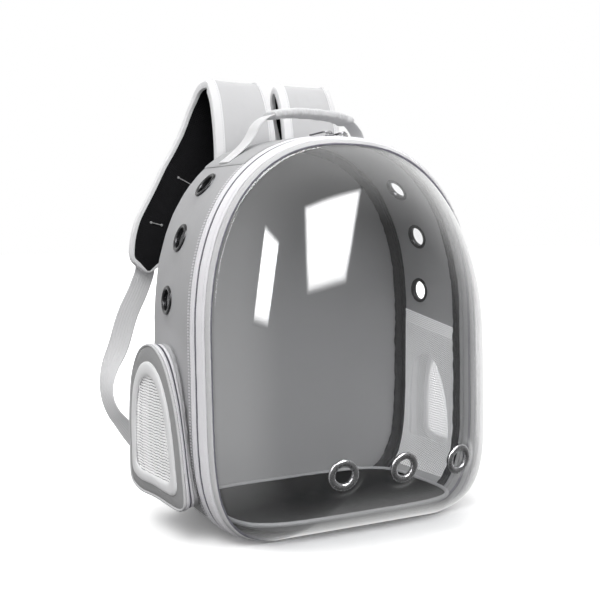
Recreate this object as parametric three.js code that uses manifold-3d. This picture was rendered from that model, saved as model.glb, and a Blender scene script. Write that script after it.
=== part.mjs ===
// Bubble pet carrier backpack, in millimetres, +Z up.
// The window faces -Y and the straps hang behind, at +Y. Depth is measured back from the front of
// the rim, which leans back a little, so that the rim's top lies behind its foot.

import * as THREE from 'three';
import { mergeVertices } from 'three/addons/utils/BufferGeometryUtils.js';
import Module from 'manifold-3d';

const wasm = await Module();
wasm.setup();

// Shared clearances
const gap = 0.3;
const probeLength = 40;

// Body of the bag
const springHeight = 207;
const rimHalfWidth = 169;
const rimTop = 419;
const rimFlare = 8;
const rimDepth = 34;
const rimLean = 0.046;
const bodyDepth = 170;
const backHalfWidth = 168;
const backTop = 428;
const topRoundness = 2.38;
const bottomRoundness = 5.58;
const floorPress = 0.012;
const wallThickness = 2.5;
const panelThickness = 10;
const archPoints = 36;

// Rim: binding, zipper tapes and coil
const bindingDepth = 5.5;
const bindingThickness = 4;
const tapeThickness = 1.8;
const coilDepth = 3.5;
const coilThickness = 3;
const coilPlace = 21;

// Bindings over the seams inside
const seamThickness = 3;
const rearSeamDepth = 14;
const frontSeamDepth = 11;
const frontSeamPlace = 5;

// Clear window
const bubbleDepth = 97;
const bubbleFlatness = 4;
const bubbleThickness = 1.4;
const bubbleInset = 1.5;
const bubbleCentreHeight = 156;
const bubbleShares = [1, 0.975, 0.93, 0.86, 0.75, 0.58, 0.34];

// Vent grommets
const bubbleVent = { hole: 9, flange: 16 };
const sideVent = { hole: 11.2, flange: 16 };
const barrelThickness = 1;
const flangeThickness = 1.4;
const ventSides = 12;
const bubbleVents = { height: 87, spacing: 70 };
const topVentRoom = 15.5;
const topVent = { back: 0.612 };
const lowerVents = [
  { back: 0.612, up: 0.738 },
  { back: 0.688, up: 0.579 },
];

// Floor mat
const matTop = 21;
const matCoverThickness = 2;
const matFront = -18;
const matFoot = -2;
const matRearRoom = 2;
const matSideRoom = 1;
const matCornerPower = 5;
const matPoints = 24;
const pipingRadius = 2.4;
const pipingSides = 5;

// Side pockets
const pocketPoints = 20;
const pocketLength = 140;
const pocketHeight = 166;
const pocketFoot = 36;
const pocketRearMargin = 3;
const pocketOutFront = 10.5;
const pocketOutRear = 28.5;
const pocketSideDepth = 17;
const pocketBaseInset = 6;
const pocketSkin = 1.5;
const pocketSeamShare = 0.12;
const pocketTape = 4.6;
const pocketCoil = 2.2;
const pocketPiping = 3;
const pocketFrameThickness = 2;
const pocketCrown = 3;
const pocketWindowShare = 0.76;
const pocketWindowBindingShare = 0.12;
const pocketWindowLapShare = 0.04;
const pocketNetFitShare = 0.97;
const pocketInnerTape = 3.7;
const pocketNetThickness = 1;
const pocketShares = [
  { along: 0.0, up: 0.045 },
  { along: 0.03, up: 0.26 },
  { along: 0.09, up: 0.48 },
  { along: 0.2, up: 0.72 },
  { along: 0.37, up: 0.92 },
  { along: 0.58, up: 1.0 },
  { along: 0.79, up: 0.95 },
  { along: 0.94, up: 0.78 },
  { along: 1.0, up: 0.52 },
  { along: 1.0, up: 0.26 },
  { along: 0.97, up: 0.05 },
  { along: 0.84, up: 0.0 },
  { along: 0.5, up: 0.0 },
  { along: 0.06, up: 0.0 },
];

// Opening in the wall behind each pocket, and the net over it inside
const openingShare = 0.66;
const netThickness = 1;
const netFoot = 26;
const netFrontTop = 205;
const netRearTop = 222;
const netBulge = 7;
const netRowCount = 6;
const netColumnCount = 4;

// Handle
const handleDepth = 105;
const handleHalfSpan = 112;
const handleLift = 28;
const handleWidth = 26;
const handleThickness = 1.8;
const gripHalfLength = 52;
const gripShift = 4;
const gripWidth = 34;
const gripThickness = 11;
const gripRoomAcross = 3.6;
const gripRoomHigh = 2.4;
const handleStepCount = 24;
const gripStepCount = 5;
const handleShares = [
  { reach: 1.0, lift: 0 },
  { reach: 0.88, lift: 0 },
  { reach: 0.79, lift: 0.06 },
  { reach: 0.7, lift: 0.22 },
  { reach: 0.635, lift: 0.46 },
  { reach: 0.6, lift: 0.68 },
  { reach: 0.535, lift: 0.88 },
  { reach: 0.46, lift: 0.97 },
  { reach: 0.24, lift: 1.0 },
];

// Zipper sliders and pulls at the top of the rim
const sliderSize = { along: 9, across: 7, high: 4 };
const pullSize = { long: 22, wide: 5, thick: 1.4, lift: 0.9 };
const sliderSpacing = 18;
const sliderMiddle = -4;

// Shoulder straps
const strapBaseOut = 46;
const strapHalfWidth = 38;
const strapRise = 72;
const strapStandOff = 68;
const strapSpread = 103;
const strapApexHeight = backTop + strapRise;
const padTop = 6;
const padEdge = 2.5;
const padFoot = 3;
const liningThickness = 1.5;
const edgeTapeWidth = 9;
const edgeTapeLap = 6;
const edgeTapeThickness = 1;
const edgeTapeWrap = 1.8;
const strapShares = [
  { up: 0.77, back: 0.01, out: 0.0, width: 1.0 },
  { up: 0.84, back: 0.01, out: 0.0, width: 1.0 },
  { up: 0.91, back: 0.11, out: 0.0, width: 0.985 },
  { up: 0.965, back: 0.28, out: 0.0, width: 0.96 },
  { up: 0.992, back: 0.46, out: 0.01, width: 0.95 },
  { up: 0.982, back: 0.7, out: 0.05, width: 0.93 },
  { up: 0.94, back: 0.88, out: 0.1, width: 0.925 },
  { up: 0.88, back: 0.955, out: 0.19, width: 0.94 },
  { up: 0.826, back: 0.985, out: 0.278, width: 1.0 },
  { up: 0.76, back: 1.0, out: 0.53, width: 0.835 },
  { up: 0.694, back: 0.993, out: 0.786, width: 0.61 },
  { up: 0.644, back: 0.97, out: 0.922, width: 0.585 },
  { up: 0.596, back: 0.945, out: 0.98, width: 0.57 },
  { up: 0.574, back: 0.93, out: 0.992, width: 0.52 },
  { up: 0.56, back: 0.92, out: 0.997, width: 0.3 },
  { up: 0.547, back: 0.91, out: 1.0, width: 0.04 },
];

// Webbing from each strap's tip to the lower corner of the back
const webWidth = 25;
const webThickness = 1.8;
const webLap = 24;
const webBow = 64;
const webAnchorOut = 145;
const webAnchorHeight = 40;
const webAnchorLap = 14;
const webShares = [
  { up: 0.9, back: 0.96, bow: 0.16, turn: 4 },
  { up: 0.78, back: 0.87, bow: 0.42, turn: 10 },
  { up: 0.62, back: 0.76, bow: 0.67, turn: 30 },
  { up: 0.52, back: 0.655, bow: 0.88, turn: 56 },
  { up: 0.435, back: 0.55, bow: 0.99, turn: 72 },
  { up: 0.37, back: 0.47, bow: 1.0, turn: 74 },
  { up: 0.31, back: 0.38, bow: 0.94, turn: 68 },
  { up: 0.26, back: 0.285, bow: 0.83, turn: 58 },
  { up: 0.175, back: 0.165, bow: 0.6, turn: 40 },
  { up: 0.105, back: 0.07, bow: 0.33, turn: 12 },
];

// Colours and finishes
const finish = (color, roughness, metalness = 0) =>
  new THREE.MeshStandardMaterial({ color, roughness, metalness });
const finishes = {
  cloth: finish(0xb4b4b6, 0.75),
  panel: finish(0x8a8a8c, 0.8),
  tape: finish(0xe6e4ec, 0.7),
  coil: finish(0x6b6878, 0.5),
  seam: finish(0x1c1c1e, 0.6),
  clear: new THREE.MeshStandardMaterial({
    color: 0xf4f6f8,
    roughness: 0.08,
    transparent: true,
    opacity: 0.25,
  }),
  ring: finish(0x8f9092, 0.25, 1),
  darkRing: finish(0x2a2a2c, 0.3, 1),
  mat: finish(0x363636, 0.85),
  net: finish(0xeeeeee, 0.7),
  webbing: finish(0xc0c0c0, 0.8),
  lining: finish(0x08080a, 0.9),
  metal: finish(0x4a4a4c, 0.35, 1),
};

const group = new THREE.Group();
group.name = 'bubble_pet_carrier_backpack';

const range = (count) => Array.from({ length: count }, (_, i) => i);
const mix = THREE.MathUtils.lerp;

function add(name, geometry, material) {
  const mesh = new THREE.Mesh(geometry, material);
  mesh.name = name;
  group.add(mesh);
}

// Solids from rows of points

function triangulate(points) {
  const normal = new THREE.Vector3();
  points.forEach((point, i) => {
    const next = points[(i + 1) % points.length];
    normal.x += (point.y - next.y) * (point.z + next.z);
    normal.y += (point.z - next.z) * (point.x + next.x);
    normal.z += (point.x - next.x) * (point.y + next.y);
  });
  const [ax, ay, az] = [Math.abs(normal.x), Math.abs(normal.y), Math.abs(normal.z)];
  const flat = points.map((p) => {
    if (ax >= ay && ax >= az) return new THREE.Vector2(p.y, p.z);
    if (ay >= az) return new THREE.Vector2(p.x, p.z);
    return new THREE.Vector2(p.x, p.y);
  });
  const turned = THREE.ShapeUtils.isClockWise(flat);
  const faces = THREE.ShapeUtils.triangulateShape(turned ? flat.reverse() : flat, []);
  const last = points.length - 1;
  return turned ? faces.map(([a, b, c]) => [last - c, last - b, last - a]) : faces;
}

function signedVolume(points, faces) {
  const cross = new THREE.Vector3();
  return faces.reduce(
    (sum, [a, b, c]) => sum + points[a].dot(cross.crossVectors(points[b], points[c])) / 6,
    0,
  );
}

// Whether a cap has to be turned, so that its edges run against those of the skin beside it
function capRunsWith(cap, skin) {
  const edges = new Set(skin.flatMap(([a, b, c]) => [`${a},${b}`, `${b},${c}`, `${c},${a}`]));
  return cap.some(([a, b, c]) => [`${a},${b}`, `${b},${c}`, `${c},${a}`].some((e) => edges.has(e)));
}

// Each row is a closed loop of points, or one point. Rows are skinned in turn. The last row joins
// the first when wrap is set, and otherwise the two end rows are capped.
function solidFromRows(rows, wrap = false) {
  const points = rows.flat();
  const starts = [];
  rows.reduce((start, row) => {
    starts.push(start);
    return start + row.length;
  }, 0);
  const skin = [];
  const strips = wrap ? rows.length : rows.length - 1;
  range(strips).forEach((r) => {
    const s = (r + 1) % rows.length;
    const [first, second] = [rows[r].length, rows[s].length];
    const count = Math.max(first, second);
    if (count === 1) return;
    range(count).forEach((i) => {
      const j = (i + 1) % count;
      const a = starts[r] + (first === 1 ? 0 : i);
      const b = starts[r] + (first === 1 ? 0 : j);
      const c = starts[s] + (second === 1 ? 0 : i);
      const d = starts[s] + (second === 1 ? 0 : j);
      if (a !== b) skin.push([a, b, c]);
      if (c !== d) skin.push([b, d, c]);
    });
  });
  const caps = [];
  if (!wrap) {
    [0, rows.length - 1].forEach((r) => {
      if (rows[r].length === 1) return;
      const cap = triangulate(rows[r]).map((face) => face.map((i) => i + starts[r]));
      caps.push(...(capRunsWith(cap, skin) ? cap.map(([a, b, c]) => [a, c, b]) : cap));
    });
  }
  let faces = [...skin, ...caps];
  if (signedVolume(points, faces) < 0) faces = faces.map(([a, b, c]) => [a, c, b]);
  return geometryOf(points.flatMap((p) => [p.x, p.y, p.z]), faces.flat());
}

function geometryOf(positions, indices) {
  const geometry = new THREE.BufferGeometry();
  geometry.setAttribute('position', new THREE.Float32BufferAttribute(positions, 3));
  geometry.setIndex(indices);
  geometry.computeVertexNormals();
  return geometry;
}

// Booleans

function toSolid(geometry) {
  const bare = geometry.clone();
  bare.deleteAttribute('normal');
  bare.deleteAttribute('uv');
  const merged = mergeVertices(bare, 1e-4);
  return new wasm.Manifold(
    new wasm.Mesh({
      numProp: 3,
      vertProperties: new Float32Array(merged.attributes.position.array),
      triVerts: new Uint32Array(merged.index.array),
    }),
  );
}

function fromSolid(solid) {
  const mesh = solid.getMesh();
  return geometryOf(Array.from(mesh.vertProperties), Array.from(mesh.triVerts));
}

// Sections of the body

function arch(size, inset = 0) {
  const half = size.half - inset;
  const rise = size.top - inset - springHeight;
  const drop = (springHeight - inset) * (1 + floorPress);
  return range(archPoints).map((i) => {
    const angle = ((i + 0.5) / archPoints) * Math.PI * 2;
    const across = Math.cos(angle);
    const upward = Math.sin(angle);
    const power = 2 / (upward > 0 ? topRoundness : bottomRoundness);
    const x = half * Math.sign(across) * Math.abs(across) ** power;
    const lift = (upward > 0 ? rise : -drop) * Math.abs(upward) ** power;
    return { x, z: Math.max(springHeight + lift, inset) };
  });
}

function bodySize(depth) {
  if (depth <= rimDepth) {
    const flare = rimFlare * (1 - (1 - depth / rimDepth) ** 3);
    return { half: rimHalfWidth + flare, top: rimTop + flare };
  }
  const share = (depth - rimDepth) / (bodyDepth - rimDepth);
  return {
    half: mix(rimHalfWidth + rimFlare, backHalfWidth, share),
    top: mix(rimTop + rimFlare, backTop, share),
  };
}

const leaned = (depth, z) => depth + rimLean * z * (1 - Math.max(depth, 0) / bodyDepth);
const depthOf = (y, z) => (y - rimLean * z) / (1 - (rimLean * z) / bodyDepth);

function loopAt(depth, inset = 0) {
  return arch(bodySize(depth), inset).map(({ x, z }) => new THREE.Vector3(x, leaned(depth, z), z));
}

// A hoop of the body's wall between two depths, with its outside inset by outside
function hoop(front, rear, thickness, steps, outside = 0) {
  const depths = range(steps + 1).map((i) => mix(front, rear, i / steps));
  const outer = depths.map((depth) => loopAt(depth, outside));
  const inner = depths.reverse().map((depth) => loopAt(depth, outside + thickness));
  return solidFromRows([...outer, ...inner], true);
}

// How far out the side wall stands at a place, along its flat facets
function wallOut(y, z, inset = 0) {
  const points = arch(bodySize(depthOf(y, z)), inset);
  for (const [i, a] of points.entries()) {
    const b = points[(i + 1) % points.length];
    const crosses = (a.z - z) * (b.z - z) <= 0 && a.z !== b.z;
    if (a.x > 0 && b.x > 0 && crosses) return mix(a.x, b.x, (z - a.z) / (b.z - a.z));
  }
  return 0;
}

// How high the roof stands at a place, along its flat facets
function roofAt(x, y, inset = 0) {
  const points = arch(bodySize(depthOf(y, rimTop)), inset);
  for (const [i, a] of points.entries()) {
    const b = points[(i + 1) % points.length];
    const crosses = (a.x - x) * (b.x - x) <= 0 && a.x !== b.x;
    if (a.z > springHeight && b.z > springHeight && crosses) {
      return mix(a.z, b.z, (x - a.x) / (b.x - a.x));
    }
  }
  return 0;
}

// Closed outlines in a plane

function smoothLoop(corners, count) {
  const curve = new THREE.CatmullRomCurve3(
    corners.map(([u, v]) => new THREE.Vector3(u, v, 0)),
    true,
  );
  return range(count).map((i) => {
    const point = curve.getPointAt(i / count);
    return new THREE.Vector2(point.x, point.y);
  });
}

function centreOf(loop) {
  const sum = loop.reduce((total, point) => total.add(point), new THREE.Vector2());
  return sum.divideScalar(loop.length);
}

function shrinkLoop(loop, distance) {
  const centre = centreOf(loop);
  return loop.map((point, i) => {
    const before = loop[(i + loop.length - 1) % loop.length];
    const after = loop[(i + 1) % loop.length];
    const along = after.clone().sub(before).normalize();
    const inward = new THREE.Vector2(-along.y, along.x);
    if (inward.dot(centre.clone().sub(point)) < 0) inward.negate();
    return point.clone().addScaledVector(inward, distance);
  });
}

const scaleLoop = (loop, share, centre = centreOf(loop)) =>
  loop.map((point) => point.clone().sub(centre).multiplyScalar(share).add(centre));

// Vents

function placedAlong(geometry, place) {
  const turn = new THREE.Quaternion().setFromUnitVectors(new THREE.Vector3(0, 1, 0), place.normal);
  return geometry.applyQuaternion(turn).translate(place.point.x, place.point.y, place.point.z);
}

function punch(solid, places) {
  return places.reduce((rest, place) => {
    const radius = place.vent.hole + barrelThickness + gap;
    const drill = new THREE.CylinderGeometry(radius, radius, probeLength, ventSides);
    return rest.subtract(toSolid(placedAlong(drill, place)));
  }, solid);
}

// A ring whose two flanges clamp the wall, which is measured round its hole
function grommet(solid, place) {
  const { hole, flange } = place.vent;
  const radius = flange + gap;
  const probe = new THREE.CylinderGeometry(radius, radius, probeLength, ventSides);
  const collar = solid.intersect(toSolid(placedAlong(probe, place))).getMesh();
  const heights = range(collar.numVert).map((i) => {
    const vertex = new THREE.Vector3().fromArray(collar.vertProperties, i * 3);
    return vertex.sub(place.point).dot(place.normal);
  });
  const low = Math.min(...heights) - gap;
  const high = Math.max(...heights) + gap;
  const barrel = hole + barrelThickness;
  const profile = [
    [hole, low - flangeThickness],
    [flange, low],
    [barrel, low],
    [barrel, high],
    [flange, high],
    [hole, high + flangeThickness],
    [hole, low - flangeThickness],
  ].map(([r, h]) => new THREE.Vector2(r, h));
  return placedAlong(new THREE.LatheGeometry(profile, ventSides), place);
}

function wallPlace(side, depth, z) {
  const step = 2;
  const at = (dy, dz) => {
    const y = leaned(depth, z) + dy;
    return new THREE.Vector3(side * wallOut(y, z + dz), y, z + dz);
  };
  const upward = at(0, step).sub(at(0, -step));
  const backward = at(step, 0).sub(at(-step, 0));
  const normal = new THREE.Vector3().crossVectors(upward, backward).normalize();
  if (normal.x * side < 0) normal.negate();
  return { point: at(0, 0), normal };
}

// Body

const sides = [
  { tag: 'l', side: -1 },
  { tag: 'r', side: 1 },
];
const shellFront = rimDepth + gap;
const tapeSpan = {
  front: [bindingDepth + gap, coilPlace - coilDepth / 2 - gap],
  coil: [coilPlace - coilDepth / 2, coilPlace + coilDepth / 2],
  rear: [coilPlace + coilDepth / 2 + gap, rimDepth],
};

// The pocket's outline on the wall and at its face, as depth and height
const pocketRear = bodyDepth - pocketRearMargin;
const faceLoop = smoothLoop(
  pocketShares.map(({ along, up }) => [
    pocketRear - pocketLength * (1 - along),
    pocketFoot + pocketHeight * up,
  ]),
  pocketPoints,
);
const baseFront = Math.max(pocketRear - pocketLength, rimDepth) + pocketBaseInset;
const baseLoop = smoothLoop(
  pocketShares.map(({ along, up }) => [
    mix(baseFront, pocketRear - pocketBaseInset, along),
    pocketFoot + pocketBaseInset / 2 + (pocketHeight - pocketBaseInset) * up,
  ]),
  pocketPoints,
);
const openingLoop = scaleLoop(baseLoop, openingShare);

function buildShell() {
  let solid = toSolid(hoop(shellFront, bodyDepth, wallThickness, 2));
  sides.forEach(({ side }) => {
    const rows = [0.5, 1.5].map((share) =>
      openingLoop.map(({ x, y }) => new THREE.Vector3(side * share * backHalfWidth, x, y)),
    );
    solid = solid.subtract(toSolid(solidFromRows(rows)));
  });
  const topDepth = topVent.back * bodyDepth;
  const topHeight = roofAt(handleHalfSpan + topVentRoom, leaned(topDepth, rimTop));
  const vents = [
    { depth: topDepth, height: topHeight },
    ...lowerVents.map(({ back, up }) => ({ depth: back * bodyDepth, height: up * backTop })),
  ];
  const places = sides.flatMap(({ tag, side }) =>
    vents.map(({ depth, height }, i) => ({
      name: `side_grommet_${tag}${i + 1}`,
      vent: sideVent,
      ...wallPlace(side, depth, height),
    })),
  );
  solid = punch(solid, places);
  add('gusset_shell', fromSolid(solid), finishes.cloth);
  places.forEach((place) => add(place.name, grommet(solid, place), finishes.darkRing));
}

function buildBackPanel() {
  const inset = wallThickness + gap;
  const front = bodyDepth - panelThickness;
  add('back_panel', solidFromRows([loopAt(front, inset), loopAt(bodyDepth, inset)]), finishes.panel);
  const rear = front - gap;
  const seam = (from, to) => hoop(from, to, seamThickness, 1, inset);
  add('seam_binding_rear', seam(rear - rearSeamDepth, rear), finishes.seam);
  const start = shellFront + frontSeamPlace;
  add('seam_binding_front', seam(start, start + frontSeamDepth), finishes.seam);
}

function buildRim() {
  add('rim_binding', hoop(0, bindingDepth, bindingThickness, 1), finishes.cloth);
  add('rim_tape_front', hoop(...tapeSpan.front, tapeThickness, 1), finishes.tape);
  add('rim_coil', hoop(...tapeSpan.coil, coilThickness, 1), finishes.coil);
  add('rim_tape_rear', hoop(...tapeSpan.rear, tapeThickness, 1), finishes.tape);
}

function buildSliders() {
  const y = leaned(coilPlace, rimTop);
  ['1', '2'].forEach((name, i) => {
    const at = sliderMiddle + (i - 0.5) * sliderSpacing;
    const { along, across, high } = sliderSize;
    const edges = [at - along / 2, at, at + along / 2];
    const seat = Math.max(...edges.map((x) => roofAt(x, y))) + gap;
    const body = new THREE.BoxGeometry(along, across, high);
    add(`slider_${name}`, body.translate(at, y, seat + high / 2), finishes.metal);
    const { long, wide, thick, lift: rest } = pullSize;
    const rows = [0, 0.5, 1].map((share) => {
      const x = i === 0 ? at - along / 2 - gap - long * share : at;
      const back = i === 0 ? 0 : across / 2 + gap + long * share;
      const base = Math.max(roofAt(x, y + back), roofAt(x, y)) + rest;
      const corner = (sign, lift) =>
        i === 0
          ? new THREE.Vector3(x, y + (sign * wide) / 2, base + lift)
          : new THREE.Vector3(x + (sign * wide) / 2, y + back, base + lift);
      return [corner(-1, 0), corner(1, 0), corner(1, thick), corner(-1, thick)];
    });
    add(`pull_${name}`, solidFromRows(rows), finishes.coil);
  });
}

// Clear window

const bubbleSize = { half: rimHalfWidth - bubbleInset, top: rimTop - bubbleInset };

function bubblePoint(corner, share, inset) {
  const x = corner.x * share;
  const z = mix(bubbleCentreHeight, corner.z, share);
  const reach = (bubbleDepth - inset) * (1 - share ** bubbleFlatness);
  return new THREE.Vector3(x, leaned(-gap - reach, z), z);
}

function bubbleRows(inset) {
  const outline = arch(bubbleSize, bubbleInset + inset);
  const loops = bubbleShares.map((share) => outline.map((corner) => bubblePoint(corner, share, inset)));
  return [...loops, [bubblePoint(outline[0], 0, inset)]];
}

// Place on the window, from where a ray from its middle meets its outline
function bubblePlace(x, z) {
  const outline = arch(bubbleSize, bubbleInset);
  const surface = (px, pz) => {
    const ray = new THREE.Vector2(px, pz - bubbleCentreHeight);
    const shares = outline.map((a, i) => {
      const b = outline[(i + 1) % outline.length];
      const from = new THREE.Vector2(a.x, a.z - bubbleCentreHeight);
      const edge = new THREE.Vector2(b.x - a.x, b.z - a.z);
      const turn = ray.cross(edge);
      const far = from.cross(edge) / turn;
      const beside = from.cross(ray) / turn;
      return far > 0 && beside >= 0 && beside <= 1 ? far : Infinity;
    });
    const share = 1 / Math.min(...shares);
    return bubblePoint({ x: px / share, z: mix(bubbleCentreHeight, pz, 1 / share) }, share, 0);
  };
  const step = 2;
  const across = surface(x + step, z).sub(surface(x - step, z));
  const upward = surface(x, z + step).sub(surface(x, z - step));
  const normal = new THREE.Vector3().crossVectors(across, upward).normalize();
  return { point: surface(x, z), normal: normal.y > 0 ? normal.negate() : normal };
}

function buildBubble() {
  const rows = [...bubbleRows(0), ...bubbleRows(bubbleThickness).reverse()];
  const places = [-1, 0, 1].map((column, i) => ({
    name: `bubble_grommet_${i + 1}`,
    vent: bubbleVent,
    ...bubblePlace(column * bubbleVents.spacing, bubbleVents.height),
  }));
  const solid = punch(toSolid(solidFromRows(rows, true)), places);
  add('bubble', fromSolid(solid), finishes.clear);
  places.forEach((place) => add(place.name, grommet(solid, place), finishes.ring));
}

// Floor mat

// Outline of the mat at a height, with round corners, clear of the walls beside it
function matLoop(z, front, inset = 0) {
  const inside = wallThickness + seamThickness + gap * 2 + matSideRoom;
  const rear = bodyDepth - panelThickness - matRearRoom;
  const half = wallOut(bodyDepth / 2, z, inside) - inset;
  const middle = (front + rear) / 2;
  const long = (rear - front) / 2 - inset;
  return range(matPoints).map((i) => {
    const angle = ((i + 0.5) / matPoints) * Math.PI * 2;
    const [c, s] = [Math.cos(angle), Math.sin(angle)];
    const power = 2 / matCornerPower;
    const x = half * Math.sign(c) * Math.abs(c) ** power;
    const y = middle + long * Math.sign(s) * Math.abs(s) ** power;
    return new THREE.Vector3(x, y, z);
  });
}

function buildMat() {
  const foot = wallThickness + seamThickness + gap * 2;
  const padTopHeight = matTop - matCoverThickness - gap;
  const shares = [0, 0.35, 0.7, 1];
  const rows = shares.map((share) =>
    matLoop(mix(foot, padTopHeight, share), mix(matFoot, matFront, share ** 0.8)),
  );
  add('mat_pad', solidFromRows(rows), finishes.cloth);
  const edge = (inset, lift) =>
    matLoop(padTopHeight, matFront, inset).map((p) => p.setZ(padTopHeight + gap + lift));
  const coverInset = pipingRadius * 2 + gap;
  const cover = [edge(coverInset, 0), edge(coverInset, matCoverThickness)];
  add('mat_cover', solidFromRows(cover), finishes.mat);
  const turns = range(pipingSides).map((i) => (i / pipingSides) * Math.PI * 2);
  const piping = turns.map((angle) =>
    edge(pipingRadius * (1 - Math.cos(angle)), pipingRadius * (1 + Math.sin(angle))),
  );
  add('mat_piping', solidFromRows(piping, true), finishes.tape);
}

// Side pockets

// A point of the pocket's side wall: share 0 at the body, 1 at the face
function pocketFaceOut(side, y, lift) {
  const share = (y - (pocketRear - pocketLength)) / pocketLength;
  const front = rimHalfWidth + rimFlare + pocketOutFront;
  const rear = backHalfWidth + pocketOutRear;
  return side * (mix(front, rear, share) + lift);
}

function pocketRow(side, share, inset) {
  const base = shrinkLoop(baseLoop, inset);
  const face = shrinkLoop(faceLoop, inset);
  return base.map((from, i) => {
    const seat = side * (wallOut(from.x, from.y) + gap);
    const start = new THREE.Vector3(seat, from.x, from.y);
    const to = face[i];
    const end = new THREE.Vector3(pocketFaceOut(side, to.x, 0), to.x, to.y);
    return start.lerp(end, share);
  });
}

function pocketHoop(side, from, to) {
  const rows = [
    pocketRow(side, from, 0),
    pocketRow(side, to, 0),
    pocketRow(side, to, pocketSkin),
    pocketRow(side, from, pocketSkin),
  ];
  return solidFromRows(rows, true);
}

// The pocket's cloth side, whose foot is cut to the body's wall
function pocketGusset(side, to) {
  const depths = [shellFront, mix(shellFront, bodyDepth, 0.5), bodyDepth];
  const body = solidFromRows(depths.map((depth) => loopAt(depth, -gap)));
  return fromSolid(toSolid(pocketHoop(side, -pocketSeamShare, to)).subtract(toSolid(body)));
}

// A row of the pocket's face: a share of the outline, lifted off the face and crowned
function faceRow(side, share, lift, inset = 0) {
  const loop = scaleLoop(shrinkLoop(faceLoop, inset), share, centreOf(faceLoop));
  const crown = pocketCrown * (1 - share ** 2);
  return loop.map(({ x, y }) => new THREE.Vector3(pocketFaceOut(side, x, lift + crown), x, y));
}

function buildPocket({ tag, side }) {
  const tape = pocketTape / pocketSideDepth;
  const coil = pocketCoil / pocketSideDepth;
  const room = gap / pocketSideDepth;
  const outerTape = [1 - tape, 1];
  const coilSpan = [outerTape[0] - room - coil, outerTape[0] - room];
  const innerWidth = pocketInnerTape / pocketSideDepth;
  const innerTape = [coilSpan[0] - room - innerWidth, coilSpan[0] - room];
  add(`pocket_gusset_${tag}`, pocketGusset(side, innerTape[0] - room), finishes.cloth);
  add(`pocket_tape_inner_${tag}`, pocketHoop(side, ...innerTape), finishes.tape);
  add(`pocket_coil_${tag}`, pocketHoop(side, ...coilSpan), finishes.coil);
  add(`pocket_tape_outer_${tag}`, pocketHoop(side, ...outerTape), finishes.tape);

  const frameInset = pocketPiping + gap;
  const top = gap + pocketFrameThickness;
  const frame = [
    faceRow(side, 1, gap, frameInset),
    faceRow(side, 1, top, frameInset),
    faceRow(side, pocketWindowShare, top),
    faceRow(side, pocketWindowShare, gap),
  ];
  add(`pocket_frame_${tag}`, solidFromRows(frame, true), finishes.cloth);
  const piping = [
    faceRow(side, 1, gap, 0),
    faceRow(side, 1, gap + pocketPiping, pocketPiping * 0.3),
    faceRow(side, 1, gap + pocketPiping, pocketPiping * 0.7),
    faceRow(side, 1, gap, pocketPiping),
  ];
  add(`pocket_piping_${tag}`, solidFromRows(piping, true), finishes.cloth);
  const bindingShare = pocketWindowShare + pocketWindowLapShare;
  const ring = [
    faceRow(side, bindingShare, top + gap),
    faceRow(side, bindingShare, top + gap + pocketSkin),
    faceRow(side, pocketWindowShare - pocketWindowBindingShare, top + gap + pocketSkin),
    faceRow(side, pocketWindowShare - pocketWindowBindingShare, top + gap),
  ];
  add(`pocket_window_binding_${tag}`, solidFromRows(ring, true), finishes.tape);
  const netShares = [pocketNetFitShare, pocketNetFitShare / 2, 0].map((share) => share * pocketWindowShare);
  const skinRow = (share, lift) => {
    const row = faceRow(side, share, lift);
    return share === 0 ? [row[0]] : row;
  };
  const net = [
    ...netShares.map((share) => skinRow(share, top)),
    ...netShares.map((share) => skinRow(share, top - pocketNetThickness)).reverse(),
  ];
  add(`pocket_net_${tag}`, solidFromRows(net, true), finishes.net);
}

// Net over the inside of a side wall, bulging into the cabin
function buildSideNet({ tag, side }) {
  const inside = wallThickness + gap;
  const front = shellFront + frontSeamPlace + frontSeamDepth + gap;
  const rear = bodyDepth - panelThickness - gap - rearSeamDepth - gap;
  const skins = [gap, gap + netThickness];
  const rows = range(netRowCount + 1).map((r) => {
    const up = r / netRowCount;
    const loops = skins.map((lift) =>
      range(netColumnCount + 1).map((c) => {
        const along = c / netColumnCount;
        const z = mix(netFoot, mix(netFrontTop, netRearTop, along), up);
        const y = leaned(mix(front, rear, along), z);
        const bulge = netBulge * Math.sin(Math.PI * up) * Math.sin(Math.PI * along);
        return new THREE.Vector3(side * (wallOut(y, z, inside) - lift - bulge), y, z);
      }),
    );
    return [...loops[0], ...loops[1].reverse()];
  });
  add(`side_net_${tag}`, solidFromRows(rows), finishes.net);
}

// Handle

function handleCurve() {
  const y = leaned(handleDepth, rimTop);
  const half = handleShares.map(({ reach, lift }) => {
    const x = reach * handleHalfSpan;
    const roof = Math.max(roofAt(x, y - handleWidth / 2), roofAt(x, y), roofAt(x, y + handleWidth / 2));
    const seat = roof + gap + handleThickness;
    return new THREE.Vector3(x, y, seat + lift * handleLift);
  });
  const mirrored = half.map((p) => new THREE.Vector3(-p.x, p.y, p.z));
  return new THREE.CatmullRomCurve3([...mirrored, ...half.reverse()]);
}

function handleRow(curve, u, ring) {
  const point = curve.getPointAt(u);
  const along = curve.getTangentAt(u);
  const across = new THREE.Vector3(0, 1, 0);
  const up = new THREE.Vector3().crossVectors(along, across);
  return ring.map(([a, b]) => point.clone().addScaledVector(across, a).addScaledVector(up, b));
}

function roundedRing(width, height, power) {
  const count = 8;
  return range(count).map((i) => {
    const angle = ((i + 0.5) / count) * Math.PI * 2;
    const [c, s] = [Math.cos(angle), Math.sin(angle)];
    return [
      (width / 2) * Math.sign(c) * Math.abs(c) ** power,
      (height / 2) * Math.sign(s) * Math.abs(s) ** power,
    ];
  });
}

function boxRing(width, height) {
  const [a, b] = [width / 2, height / 2];
  return [[-a, -b], [a, -b], [a, b], [-a, b]];
}

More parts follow.
